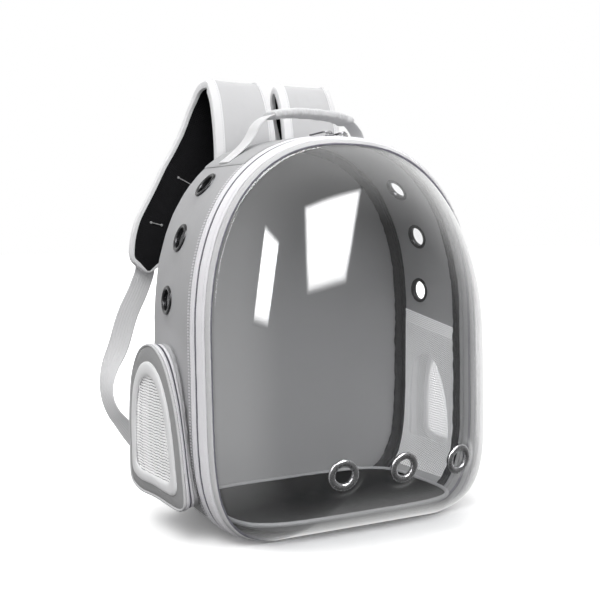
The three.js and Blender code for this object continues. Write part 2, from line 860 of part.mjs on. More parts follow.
function buildHandle() {
  const curve = handleCurve();
  const section = boxRing(handleWidth, handleThickness);
  const web = range(handleStepCount + 1).map((i) => handleRow(curve, i / handleStepCount, section));
  add('handle_web', solidFromRows(web), finishes.tape);
  const middle = 0.5 + gripShift / curve.getLength();
  const share = gripHalfLength / curve.getLength();
  const stations = range(gripStepCount + 1).map((i) =>
    mix(middle - share, middle + share, i / gripStepCount),
  );
  const outer = stations.map((u) => handleRow(curve, u, roundedRing(gripWidth, gripThickness, 0.6)));
  const hole = roundedRing(handleWidth + gripRoomAcross, handleThickness + gripRoomHigh, 0.25);
  const inner = stations.reverse().map((u) => handleRow(curve, u, hole));
  add('handle_grip', solidFromRows([...outer, ...inner], true), finishes.cloth);
}

// Shoulder straps

const strapSeat = gap + padTop + gap + edgeTapeThickness;
const backFace = bodyDepth;

function strapCurve() {
  return new THREE.CatmullRomCurve3(
    strapShares.map(
      ({ up, back, out }) =>
        new THREE.Vector3(
          -(strapBaseOut + out * strapSpread),
          backFace + strapSeat + back * strapStandOff,
          up * strapApexHeight,
        ),
    ),
  );
}

const strapLine = strapCurve();
const strapLength = strapLine.getLength();

// Length along the strap at each row of its table, and its half width there
const strapStations = strapShares.map(({ width }, i) => {
  const target = strapLine.getPoint(i / (strapShares.length - 1));
  const samples = range(401).map((k) => k / 400);
  const nearest = samples.reduce((best, u) =>
    strapLine.getPointAt(u).distanceTo(target) < strapLine.getPointAt(best).distanceTo(target) ? u : best,
  );
  return { s: nearest * strapLength, half: width * strapHalfWidth };
});

// A point of the strap: s along it, a across it, n out of its grey face
function strapPoint(s, a, n) {
  const u = THREE.MathUtils.clamp(s / strapLength, 0, 1);
  const point = strapLine.getPointAt(u);
  const along = strapLine.getTangentAt(u);
  point.addScaledVector(along, s - u * strapLength);
  const across = new THREE.Vector3(1, 0, 0).addScaledVector(along, -along.x).normalize();
  const out = new THREE.Vector3().crossVectors(across, along);
  return point.addScaledVector(across, a).addScaledVector(out, n);
}

// Offsets of the strap's outline by a distance, mitred at its corners
function strapEdge(distance) {
  const outline = [
    ...strapStations.map(({ s, half }) => new THREE.Vector2(s, -half)),
    ...strapStations.map(({ s, half }) => new THREE.Vector2(s, half)).reverse(),
  ];
  return outline.map((point, i) => {
    const before = outline[Math.max(i - 1, 0)];
    const after = outline[Math.min(i + 1, outline.length - 1)];
    const normalOf = (from, to) => {
      const along = to.clone().sub(from).normalize();
      return new THREE.Vector2(along.y, -along.x);
    };
    const first = i === 0 ? normalOf(point, after) : normalOf(before, point);
    const second = i === outline.length - 1 ? first : normalOf(point, after);
    const middle = first.clone().add(second).normalize();
    return point.clone().addScaledVector(middle, distance / middle.dot(first));
  });
}

const mirrorRows = (rows, side) =>
  rows.map((row) => row.map((p) => new THREE.Vector3(-side * p.x, p.y, p.z)));

function buildStrap({ tag, side }) {
  const padRow = ({ s, half }) => {
    const shoulder = Math.max(half - edgeTapeWidth, half * 0.5);
    const crown = mix(padEdge, padTop, Math.min(shoulder / edgeTapeWidth, 1));
    return [
      [-half, -padFoot],
      [-half, padEdge],
      [-shoulder, mix(padEdge, crown, 0.7)],
      [0, crown],
      [shoulder, mix(padEdge, crown, 0.7)],
      [half, padEdge],
      [half, -padFoot],
      [0, -padFoot],
    ].map(([a, n]) => strapPoint(s, a, n));
  };
  add(`strap_pad_${tag}`, solidFromRows(mirrorRows(strapStations.map(padRow), side)), finishes.cloth);
  const liningRow = ({ s, half }) => {
    const top = -padFoot - gap;
    const foot = top - liningThickness;
    return [
      [half, top],
      [0, top],
      [-half, top],
      [-half, foot],
      [0, foot],
      [half, foot],
    ].map(([a, n]) => strapPoint(s, a, n));
  };
  add(
    `strap_lining_${tag}`,
    solidFromRows(mirrorRows(strapStations.map(liningRow), side)),
    finishes.lining,
  );
  const foot = -padFoot - gap - liningThickness;
  const section = [
    { out: gap, n: foot },
    { out: gap, n: padEdge + gap },
    { out: -edgeTapeLap, n: padTop + gap },
    { out: -edgeTapeLap, n: padTop + gap + edgeTapeThickness },
    { out: edgeTapeWrap, n: padEdge + gap + edgeTapeThickness },
    { out: edgeTapeWrap, n: foot },
  ];
  const edges = section.map(({ out }) => strapEdge(out));
  const rows = edges[0].map((_, i) =>
    section.map(({ n }, k) => strapPoint(edges[k][i].x, edges[k][i].y, n)),
  );
  add(`strap_binding_${tag}`, solidFromRows(mirrorRows(rows, side)), finishes.tape);
}

// Webbing below a strap: sewn to its outer face, free, then sewn to the foot of the back

function webPath() {
  const lift = padTop + gap * 2 + edgeTapeThickness + webThickness / 2;
  const laps = [webLap, webLap / 2, 2].map((back) => strapPoint(strapLength - back, 0, lift));
  const start = laps[laps.length - 1];
  const seat = backFace + gap + webThickness / 2;
  const free = webShares.map(({ up, back, bow }) => {
    const out = mix(webAnchorOut, -start.x, up) + bow * webBow;
    return new THREE.Vector3(-out, mix(seat, start.y, back), mix(webAnchorHeight, start.z, up));
  });
  const sewn = [1, 0].map(
    (share) => new THREE.Vector3(-webAnchorOut, seat, webAnchorHeight + share * webAnchorLap),
  );
  return { points: [...laps, ...free, ...sewn], turns: [0, 0, 0, ...webShares.map((r) => r.turn), 0, 0] };
}

function buildWeb({ tag, side }) {
  const { points, turns } = webPath();
  const curve = new THREE.CatmullRomCurve3(points);
  const steps = (points.length - 1) * 2;
  const ring = boxRing(webWidth, webThickness);
  const rows = range(steps + 1).map((i) => {
    const t = i / steps;
    const place = t * (points.length - 1);
    const low = Math.floor(place);
    const high = Math.min(low + 1, points.length - 1);
    const turn = THREE.MathUtils.degToRad(mix(turns[low], turns[high], place - low));
    const along = curve.getTangent(t);
    const out = new THREE.Vector3(0, 1, 0).addScaledVector(along, -along.y).normalize();
    out.applyAxisAngle(along, turn);
    const across = new THREE.Vector3().crossVectors(along, out);
    const point = curve.getPoint(t);
    return ring.map(([a, b]) => point.clone().addScaledVector(across, a).addScaledVector(out, b));
  });
  add(`strap_web_${tag}`, solidFromRows(mirrorRows(rows, side)), finishes.webbing);
}

buildShell();
buildBackPanel();
buildRim();
buildSliders();
buildBubble();
buildMat();
sides.forEach(buildPocket);
sides.forEach(buildSideNet);
buildHandle();
sides.forEach(buildStrap);
sides.forEach(buildWeb);

// The origin is the centre of the footprint, on the ground
const box = new THREE.Box3().setFromObject(group);
group.position.y = -(box.min.y + box.max.y) / 2;

export default group;
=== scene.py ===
# Bubble pet carrier backpack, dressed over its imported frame.
# Lengths are in millimetres, as in the part's source, and become metres in to_frame().
# Depth is measured back from the front of the rim, and the window faces -Y.

import math

import bpy
import numpy as np
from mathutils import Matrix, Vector, noise


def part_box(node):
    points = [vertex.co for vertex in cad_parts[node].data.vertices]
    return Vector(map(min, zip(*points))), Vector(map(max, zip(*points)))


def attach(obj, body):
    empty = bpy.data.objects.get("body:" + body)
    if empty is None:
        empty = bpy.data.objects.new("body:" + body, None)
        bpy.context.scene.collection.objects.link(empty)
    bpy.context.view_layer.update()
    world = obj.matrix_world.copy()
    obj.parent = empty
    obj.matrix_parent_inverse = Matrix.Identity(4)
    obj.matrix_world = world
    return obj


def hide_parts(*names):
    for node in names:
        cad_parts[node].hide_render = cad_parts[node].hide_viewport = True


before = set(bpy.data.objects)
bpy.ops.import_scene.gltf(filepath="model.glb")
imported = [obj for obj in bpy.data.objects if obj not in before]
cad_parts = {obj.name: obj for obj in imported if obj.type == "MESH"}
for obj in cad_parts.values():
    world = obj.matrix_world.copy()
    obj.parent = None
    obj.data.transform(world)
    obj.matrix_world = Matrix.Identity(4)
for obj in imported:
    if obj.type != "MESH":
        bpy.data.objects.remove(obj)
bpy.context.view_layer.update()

MM = 0.001

# Body of the bag
SPRING_HEIGHT = 207
RIM_HALF_WIDTH = 169
RIM_TOP = 419
RIM_FLARE = 8
RIM_DEPTH = 34
RIM_LEAN = 0.046
BODY_DEPTH = 170
BACK_HALF_WIDTH = 168
BACK_TOP = 428
TOP_ROUNDNESS = 2.38
BOTTOM_ROUNDNESS = 5.58
FLOOR_PRESS = 0.012
WALL = 2.5
PANEL = 10
GAP = 0.3

# Rim and seams
BINDING_DEPTH = 5.5
BINDING_THICKNESS = 4
TAPE_THICKNESS = 1.8
COIL_PLACE = 21
COIL_DEPTH = 3.5
COIL_PITCH = 1.3
STITCH_FOOT = 3
STITCH_ROWS = [(8.2, -0.55), (25.4, -0.5), (31.6, -0.45), (37.0, -0.2), (40.0, -0.2)]
SEAM_THICKNESS = 3
REAR_SEAM_DEPTH = 14
REAR_SEAM_FOLD = 6.5
FRONT_SEAM_DEPTH = 11
FRONT_SEAM_START = RIM_DEPTH + GAP + 5
REAR_SEAM_END = BODY_DEPTH - PANEL - GAP
REAR_SEAM = (REAR_SEAM_END - REAR_SEAM_DEPTH, REAR_SEAM_END)
FRONT_SEAM = (FRONT_SEAM_START, FRONT_SEAM_START + FRONT_SEAM_DEPTH)

# Clear window
BUBBLE_DEPTH = 97
BUBBLE_FLATNESS = 4
BUBBLE_THICKNESS = 1.4
BUBBLE_INSET = 1.5
BUBBLE_CENTRE = 156

# Vents
BUBBLE_VENT = (9.0, 16.0)
SIDE_VENT = (11.2, 16.0)
BUBBLE_VENT_HEIGHT = 87
BUBBLE_VENT_SPACING = 70
TOP_VENT_ROOM = 15.5
TOP_VENT_BACK = 0.612
VENT_ROOM = 1.3
LOWER_VENTS = [(0.612, 0.738), (0.688, 0.579)]

# Mat
MAT_TOP = 21
MAT_COVER = 2
MAT_REAR_ROOM = 2
MAT_SIDE_ROOM = 1
MAT_CORNER_POWER = 4.3
MAT_PIPING_RADIUS = 2.4
MAT_FELT_INSET = 4.4
MAT_FELT_STEPS = (1, 3, 8, 16, 26, 38, 50, 62, 74, 84, 92)
MAT_BULGE = 1.2
MAT_FRONT = -18
MAT_FOOT = -2

# Pockets
POCKET_REAR_MARGIN = 3
POCKET_REAR = BODY_DEPTH - POCKET_REAR_MARGIN
POCKET_LENGTH = 140
POCKET_HEIGHT = 166
POCKET_FOOT = 36
POCKET_OUT_FRONT = 10.5
POCKET_OUT_REAR = 28.5
POCKET_SIDE = 17
POCKET_BASE_INSET = 6
POCKET_CROWN = 3
POCKET_PIPING = 3
POCKET_TAPE = 4.6
POCKET_COIL = 2.2
POCKET_INNER_TAPE = 3.7
POCKET_SKIN = 1.5
POCKET_FRAME = 2
OPENING_SHARE = 0.66
WINDOW_SHARE = 0.76
WINDOW_BINDING_SHARE = 0.12
WINDOW_LAP_SHARE = 0.04
POCKET_NET_ROW = (1.9, 0.6)
POCKET_NET_THREAD = (0.55, 0.4)
POCKET_NET_ROW_PITCH = 3.1
POCKET_NET_THREAD_PITCH = 2.6
POCKET_SHARES = [
    (0.0, 0.045), (0.03, 0.26), (0.09, 0.48), (0.2, 0.72), (0.37, 0.92), (0.58, 1.0), (0.79, 0.95),
    (0.94, 0.78), (1.0, 0.52), (1.0, 0.26), (0.97, 0.05), (0.84, 0.0), (0.5, 0.0), (0.06, 0.0),
]

# Nets inside
NET_FRONT = FRONT_SEAM[1] + GAP
NET_REAR = REAR_SEAM[0] - GAP
NET_FOOT = 26.0
NET_FRONT_TOP = 205.0
NET_REAR_TOP = 222.0
NET_BULGE = 7
NET_COLUMNS = 44
NET_HEM_START = 0.93
NET_THREAD = (1.55, 0.5)
NET_HEM_THREAD = (1.9, 0.8)

# Handle
HANDLE_DEPTH = 105
HANDLE_HALF_SPAN = 112
HANDLE_LIFT = 28
HANDLE_WIDTH = 26
HANDLE_THICKNESS = 1.9
GRIP_WIDTH = 34
GRIP_THICKNESS = 11
GRIP_SIDES = 48
GRIP_HALF_LENGTH = 52
GRIP_SHIFT = 4
SEWN_HALF_SPAN = 105
HANDLE_SHARES = [
    (1.0, 0), (0.87, 0), (0.79, 0.06), (0.7, 0.22), (0.635, 0.46),
    (0.6, 0.68), (0.535, 0.88), (0.46, 0.97), (0.24, 1.0),
]

# Straps
STRAP_BASE_OUT = 46
STRAP_HALF_WIDTH = 38
STRAP_APEX = BACK_TOP + 72
STRAP_STAND_OFF = 68
STRAP_SPREAD = 103
PAD_TOP = 6
PAD_EDGE = 2.5
PAD_FOOT = 3
STRAP_SEAT = GAP + PAD_TOP + GAP + 1
STRAP_SHARES = [
    (0.77, 0.01, 0.0, 1.0), (0.84, 0.01, 0.0, 1.0), (0.91, 0.11, 0.0, 0.985),
    (0.965, 0.28, 0.0, 0.96), (0.992, 0.46, 0.01, 0.95), (0.982, 0.7, 0.05, 0.93),
    (0.94, 0.88, 0.1, 0.925), (0.88, 0.955, 0.19, 0.94), (0.826, 0.985, 0.278, 1.0),
    (0.76, 1.0, 0.53, 0.835), (0.694, 0.993, 0.786, 0.61), (0.644, 0.97, 0.922, 0.585),
    (0.596, 0.945, 0.98, 0.57), (0.574, 0.93, 0.992, 0.52), (0.56, 0.92, 0.997, 0.3),
    (0.547, 0.91, 1.0, 0.04),
]

# Webbing
WEB_WIDTH = 25
WEB_THICKNESS = 1.8
WEB_BOW = 64
WEB_LAPS = (24.0, 12.0, 2.0)
WEB_ANCHOR = (145, 40, 14)
WEB_SHARES = [
    (0.9, 0.96, 0.16, 4), (0.78, 0.87, 0.42, 10), (0.62, 0.76, 0.67, 30), (0.52, 0.655, 0.88, 56),
    (0.435, 0.55, 0.99, 72), (0.37, 0.47, 1.0, 74), (0.31, 0.38, 0.94, 68),
    (0.26, 0.285, 0.83, 58), (0.175, 0.165, 0.6, 40), (0.105, 0.07, 0.33, 12),
]

# Camera, in the part's own depths
CAMERA_PLACE = (-570.2, -905.7, 333.5)
CAMERA_TARGET = (-37.3, 60.0, 247.1)
CAMERA_LENS = 59.95
SENSOR = 36
IMAGE_SIZE = 600
SOFT_EDGE = 0.13

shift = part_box("back_panel")[1].y / MM - BODY_DEPTH


# Small mathematics

def to_frame(points):
    points = np.asarray(points, float)
    return (points + np.array([0, shift, 0])) * MM


def mix(a, b, share):
    return a + (b - a) * share


def smooth_step(low, high, value):
    t = np.clip((np.asarray(value, float) - low) / (high - low), 0, 1)
    return t * t * (3 - 2 * t)


def unit(vectors):
    vectors = np.asarray(vectors, float)
    return vectors / np.maximum(np.linalg.norm(vectors, axis=-1, keepdims=True), 1e-9)


def turn_of(count, ahead=0.0):
    """Directions all the way round, evenly spaced."""
    return (np.arange(count) + ahead) / count * 2 * np.pi


def circle(turn, side, up):
    return np.cos(turn)[:, None] * side + np.sin(turn)[:, None] * up


def rounded_reach(c, s, power):
    """How far out a rounded square's outline lies in a direction."""
    return (abs(c) ** power + abs(s) ** power) ** (-1 / power)


def lengths_along(points):
    """Length along a path, from its first point to each one."""
    steps = np.linalg.norm(np.diff(points, axis=0), axis=1)
    return np.concatenate([[0], np.cumsum(steps)])


def read_at(places, lengths, values):
    """What a path's points hold, read at places along its length."""
    return np.stack([np.interp(places, lengths, values[:, k]) for k in range(3)], -1)


def ripple(points, size, seed=0.0, octaves=2):
    """Smooth noise from -1 to 1 at each point, with lumps of about that size."""
    points = np.asarray(points, float)
    flat = points.reshape(-1, 3) / size + np.array([seed * 7.3, seed * 3.1, seed * 5.7])
    values = [noise.fractal(Vector(p), 0.7, 2.0, octaves) for p in flat]
    return np.clip(np.array(values).reshape(points.shape[:-1]), -1, 1)


class Path:
    """The part's centripetal curve through points, as three.js draws it."""

    def __init__(self, points, closed=False):
        self.points = np.asarray(points, float)
        self.closed = closed
        self.t = np.linspace(0, 1, 801)
        self.lengths = lengths_along(self.point(self.t))
        self.length = self.lengths[-1]

    def point(self, t):
        p = self.points
        count = len(p)
        place = np.asarray(t, float) * (count if self.closed else count - 1)
        if not self.closed:
            place = np.clip(place, 0, count - 1 - 1e-9)
        i = np.floor(place).astype(int)
        weight = (place - i)[..., None]
        if self.closed:
            a, b, c, d = (p[(i + k) % count] for k in (-1, 0, 1, 2))
        else:
            ends = np.concatenate([[2 * p[0] - p[1]], p, [2 * p[-1] - p[-2]]])
            a, b, c, d = (ends[i + k] for k in (0, 1, 2, 3))
        first, middle, last = (
            np.maximum(((y - x) ** 2).sum(-1, keepdims=True) ** 0.25, 1e-4)
            for x, y in ((a, b), (b, c), (c, d))
        )
        start = ((b - a) / first - (c - a) / (first + middle) + (c - b) / middle) * middle
        end = ((c - b) / middle - (d - b) / (middle + last) + (d - c) / last) * middle
        square = -3 * b + 3 * c - 2 * start - end
        cube = 2 * b - 2 * c + start + end
        return b + start * weight + square * weight**2 + cube * weight**3

    def t_at(self, u):
        return np.interp(np.asarray(u, float) * self.length, self.lengths, self.t)

    def at(self, u):
        return self.point(self.t_at(u))

    def tangent_at(self, u):
        t = self.t_at(u)
        step = 1e-4
        low, high = t - step, t + step
        if not self.closed:
            low, high = np.clip(low, 0, 1), np.clip(high, 0, 1)
        return unit(self.point(high) - self.point(low))


# Meshes from grids of points

def add_object(name, data):
    made = bpy.data.objects.new(name, data)
    bpy.context.scene.collection.objects.link(made)
    return made


class Shape:
    """Points, faces and texture places, in millimetres, gathered into one mesh."""

    def __init__(self):
        self.points = []
        self.faces = []
        self.places = []
        self.count = 0

    def add(self, points, faces, places):
        points = np.asarray(points, float).reshape(-1, 3)
        self.points.append(points)
        self.faces.extend([i + self.count for i in face] for face in faces)
        self.places.extend(np.asarray(places, float).reshape(-1, 2).tolist())
        self.count += len(points)
        return self

    def grid(self, grid, wrap_rows=False, wrap_points=False, caps=False):
        grid = np.asarray(grid, float)
        rows, width = grid.shape[:2]
        row_list = np.arange(rows if wrap_rows else rows - 1)
        point_list = np.arange(width if wrap_points else width - 1)
        r, c = (a.ravel() for a in np.meshgrid(row_list, point_list, indexing="ij"))
        below, beside = (r + 1) % rows, (c + 1) % width
        faces = np.stack(
            [r * width + c, r * width + beside, below * width + beside, below * width + c], -1
        )
        across = lengths_of(grid.transpose(1, 0, 2), wrap_points)
        along = lengths_of(grid, wrap_rows)
        places = np.stack(
            [
                np.stack([across[c], along[r]], -1),
                np.stack([across[c + 1], along[r]], -1),
                np.stack([across[c + 1], along[r + 1]], -1),
                np.stack([across[c], along[r + 1]], -1),
            ],
            1,
        )
        faces = faces.tolist()
        places = places.reshape(-1, 2).tolist()
        if caps and not wrap_rows:
            first = list(range(width))[::-1]
            last = list(range((rows - 1) * width, rows * width))
            faces += [first, last]
            flat = grid.reshape(-1, 3)
            places += [[flat[i][0], flat[i][2]] for i in first + last]
        if (caps or wrap_rows) and wrap_points and volume(grid.reshape(-1, 3), faces) < 0:
            places = turned_places(faces, places)
            faces = [face[::-1] for face in faces]
        return self.add(grid, faces, places)

    def tube(self, grid):
        """A skin round the points of each row, with flat ends."""
        return self.grid(grid, wrap_points=True, caps=True)

    def ring(self, grid):
        """A skin round the points of each row, whose last row joins the first."""
        return self.grid(grid, wrap_rows=True, wrap_points=True)

    def mesh(self, name):
        mesh = bpy.data.meshes.new(name)
        mesh.from_pydata(to_frame(np.concatenate(self.points)).tolist(), [], self.faces)
        return mesh

    def object(self, name, material, slot, nodes=(), sharp=50):
        mesh = self.mesh(name)
        layer = mesh.uv_layers.new(name="UVMap")
        layer.data.foreach_set("uv", (np.array(self.places) * MM).ravel())
        mesh.polygons.foreach_set("use_smooth", [True] * len(mesh.polygons))
        mesh.set_sharp_from_angle(angle=math.radians(sharp))
        mesh.materials.append(material)
        made = add_object(name, mesh)
        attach(made, "root")
        if nodes:
            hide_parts(*nodes)
        return made


def lengths_of(grid, wrap):
    """Mean length along the rows of a grid, from its first row to each one."""
    rows = np.concatenate([grid, grid[:1]]) if wrap else grid
    steps = np.linalg.norm(np.diff(rows, axis=0), axis=2).mean(1)
    return np.concatenate([[0], np.cumsum(steps)])


def volume(points, faces):
    total = 0.0
    for face in faces:
        corners = points[face]
        fan = np.cross(corners[1:-1], corners[2:])
        total += (fan @ corners[0]).sum()
    return total


def turned_places(faces, places):
    turned, start = [], 0
    for face in faces:
        turned += places[start : start + len(face)][::-1]
        start += len(face)
    return turned


def section_frames(points, normals, closed=False):
    """Side and normal directions along a path, square to it."""
    points = np.asarray(points, float)
    if closed:
        along = np.roll(points, -1, 0) - np.roll(points, 1, 0)
    else:
        along = np.gradient(points, axis=0)
    along = unit(along)
    side = unit(np.cross(along, normals))
    return side, np.cross(side, along)


def swept(points, normals, section, closed=False):
    """A grid of a section, as (side, normal) offsets, carried along a path."""
    side, up = section_frames(points, normals, closed)
    section = np.asarray(section, float)
    if section.ndim == 2:
        section = np.broadcast_to(section, (len(points), *section.shape))
    return (
        np.asarray(points)[:, None]
        + side[:, None] * section[..., :1]
        + up[:, None] * section[..., 1:]
    )


def oval(width, height, sides, power=1.0):
    turn = turn_of(sides, 0.5)
    c, s = np.cos(turn), np.sin(turn)
    return np.stack(
        [width / 2 * np.sign(c) * abs(c) ** power, height / 2 * np.sign(s) * abs(s) ** power], -1
    )


def stamp(shape, grid, origins, frames):
    """Copies a small closed grid of points to each origin, turned by its three axes."""
    grid = np.asarray(grid, float)
    rows, width = grid.shape[:2]
    small = Shape().tube(grid)
    faces = small.faces
    places = np.array(small.places)
    base = grid.reshape(-1, 3)
    for origin, axes in zip(origins, frames):
        shape.add(base @ axes + origin, faces, places)
    return shape


def stitch_grid(length, width, height):
    rows = []
    for share, size in ((-0.5, 0.35), (-0.3, 0.9), (0.3, 0.9), (0.5, 0.35)):
        ring = oval(width * size, height * size, 5)
        rows.append([(length * share, a, b) for a, b in ring])
    return np.array(rows)


def stitches(shape, points, normals, pitch=3.2, length=2.3, width=0.8, height=0.75):
    """A row of thread stitches along a path, each lying along it."""
    points = np.asarray(points, float)
    lengths = lengths_along(points)
    places = np.arange(pitch / 2, lengths[-1], pitch)
    centres, ahead, behind = (read_at(places + step, lengths, points) for step in (0, 0.5, -0.5))
    ups = read_at(places, lengths, normals)
    along = unit(ahead - behind)
    side = unit(np.cross(along, ups))
    up = np.cross(side, along)
    frames = np.stack([along, side, up], 1)
    return stamp(shape, stitch_grid(length, width, height), centres, frames)


# Materials

class Nodes:
    """The node tree of a material or a world, built from named nodes."""

    def __init__(self, name, owner=None):
        self.owner = owner or bpy.data.materials.new(name)
        self.owner.use_nodes = True
        self.tree = self.owner.node_tree
        self.tree.nodes.clear()

    def add(self, kind, inputs=None, **settings):
        node = self.tree.nodes.new(kind)
        for key, value in settings.items():
            setattr(node, key, value)
        for key, value in (inputs or {}).items():
            self.set(node.inputs[key], value)
        return node

    def math(self, operation, first, second=0.0):
        return self.add("ShaderNodeMath", {0: first, 1: second}, operation=operation).outputs[0]

    def noise(self, place, size, detail=3.0, roughness=0.6):
        inputs = {"Vector": place, "Scale": 1 / (size * MM), "Detail": detail, "Roughness": roughness}
        return self.add("ShaderNodeTexNoise", inputs).outputs["Fac"]

    def wave(self, place, pitch, direction):
        scale = 2 * math.pi / (20 * pitch * MM)
        wave = self.add(
            "ShaderNodeTexWave", {"Vector": place, "Scale": scale}, bands_direction=direction
        )
        return wave.outputs["Fac"]

    def ramp(self, value, low, high):
        node = self.add("ShaderNodeMapRange", {0: value, 1: 0.0, 2: 1.0, 3: low, 4: high})
        return node.outputs[0]

    def mix(self, share, first, second):
        node = self.add("ShaderNodeMix", data_type="RGBA")
        self.set(node.inputs["Factor"], share)
        for socket, value in zip([s for s in node.inputs if s.type == "RGBA"], (first, second)):
            self.set(socket, value)
        return [s for s in node.outputs if s.type == "RGBA"][0]

    def set(self, socket, value):
        if isinstance(value, bpy.types.NodeSocket):
            self.tree.links.new(value, socket)
        else:
            socket.default_value = value

    def output(self, shader):
        node = self.add("ShaderNodeOutputMaterial")
        self.tree.links.new(shader.outputs[0], node.inputs["Surface"])
        return self.owner

    def principled(self, inputs):
        return self.output(self.add("ShaderNodeBsdfPrincipled", inputs))


def shaded(colour, factor):
    return tuple(min(c * factor, 1) for c in colour) + (1.0,)


def cloth(name, colour, pitch=0.9, relief=0.18, roughness=0.8, mottle=0.1, ribs=None, sheen=0.1, patch=45,
          specular=0.3, glow=0.0):
    """Woven cloth: threads both ways, or ribs one way, with fine grain and slow patches. A glow above
    nought is painted light: the cloth emits light of its own.
    """
    nodes = Nodes(name)
    coordinates = nodes.add("ShaderNodeTexCoord")
    place, body = coordinates.outputs["UV"], coordinates.outputs["Object"]
    if ribs is None:
        warp, weft = nodes.wave(place, pitch, "X"), nodes.wave(place, pitch, "Y")
        threads = nodes.math("MAXIMUM", warp, weft)
    else:
        threads = nodes.wave(place, pitch, ribs)
    grain = nodes.noise(body, 0.9, 4.0, 0.7)
    patches = nodes.noise(body, patch, 5.0, 0.6)
    tone = nodes.math("ADD", nodes.ramp(patches, 0.0, 0.6), nodes.ramp(grain, 0.0, 0.25))
    tone = nodes.math("ADD", tone, nodes.ramp(threads, 0.0, 0.15))
    colours = nodes.mix(tone, shaded(colour, 1 - mottle), shaded(colour, 1 + mottle))
    height = nodes.math("ADD", threads, nodes.ramp(grain, 0.0, 0.8))
    bump = nodes.add("ShaderNodeBump", {"Height": height, "Distance": relief * MM, "Strength": 0.7})
    shine = nodes.ramp(grain, roughness - 0.08, roughness + 0.08)
    return nodes.principled(
        {
            "Base Color": colours,
            "Roughness": shine,
            "Normal": bump.outputs[0],
            "Sheen Weight": sheen,
            "Sheen Roughness": 0.5,
            "Specular IOR Level": specular,
            "Emission Color": (1, 1, 1, 1),
            "Emission Strength": glow,
        }
    )


def felt(name, colour):
    nodes = Nodes(name)
    body = nodes.add("ShaderNodeTexCoord").outputs["Object"]
    fibres = nodes.noise(body, 0.7, 6.0, 0.8)
    lumps = nodes.noise(body, 14, 5.0, 0.65)
    tone = nodes.math("ADD", nodes.ramp(fibres, 0.0, 0.6), nodes.ramp(lumps, 0.0, 0.4))
    colours = nodes.mix(tone, shaded(colour, 0.72), shaded(colour, 1.35))
    height = nodes.math("ADD", fibres, nodes.ramp(lumps, 0.0, 1.2))
    bump = nodes.add("ShaderNodeBump", {"Height": height, "Distance": 0.5 * MM, "Strength": 0.8})
    return nodes.principled(
        {"Base Color": colours, "Roughness": 0.95, "Normal": bump.outputs[0], "Specular IOR Level": 0.08}
    )


def metal(name, colour, roughness, metallic=1.0):
    nodes = Nodes(name)
    body = nodes.add("ShaderNodeTexCoord").outputs["Object"]
    wear = nodes.noise(body, 4, 4.0, 0.7)
    colours = nodes.mix(wear, shaded(colour, 0.85), shaded(colour, 1.1))
    shine = nodes.ramp(wear, roughness * 0.7, roughness * 1.4)
    return nodes.principled({"Base Color": colours, "Roughness": shine, "Metallic": metallic})


CLEAR_IOR = 1.4
CLEAR_GLOSS = 1.9


def clear_plastic(name):
    """Thin clear sheet: it passes light straight on and mirrors more at a low angle."""
    nodes = Nodes(name)
    behind = nodes.add("ShaderNodeNewGeometry").outputs["Backfacing"]
    facing = nodes.add("ShaderNodeFresnel", {"IOR": nodes.ramp(behind, CLEAR_IOR, 1 / CLEAR_IOR)})
    clear = nodes.add("ShaderNodeBsdfTransparent", {"Color": (0.985, 0.988, 0.992, 1)})
    gloss = nodes.add("ShaderNodeBsdfGlossy", {"Color": (1, 1, 1, 1), "Roughness": 0.03})
    share = nodes.math("MINIMUM", nodes.math("MULTIPLY", facing.outputs[0], CLEAR_GLOSS), 1.0)
    both = nodes.add("ShaderNodeMixShader", {0: share, 1: clear.outputs[0], 2: gloss.outputs[0]})
    return nodes.output(both)


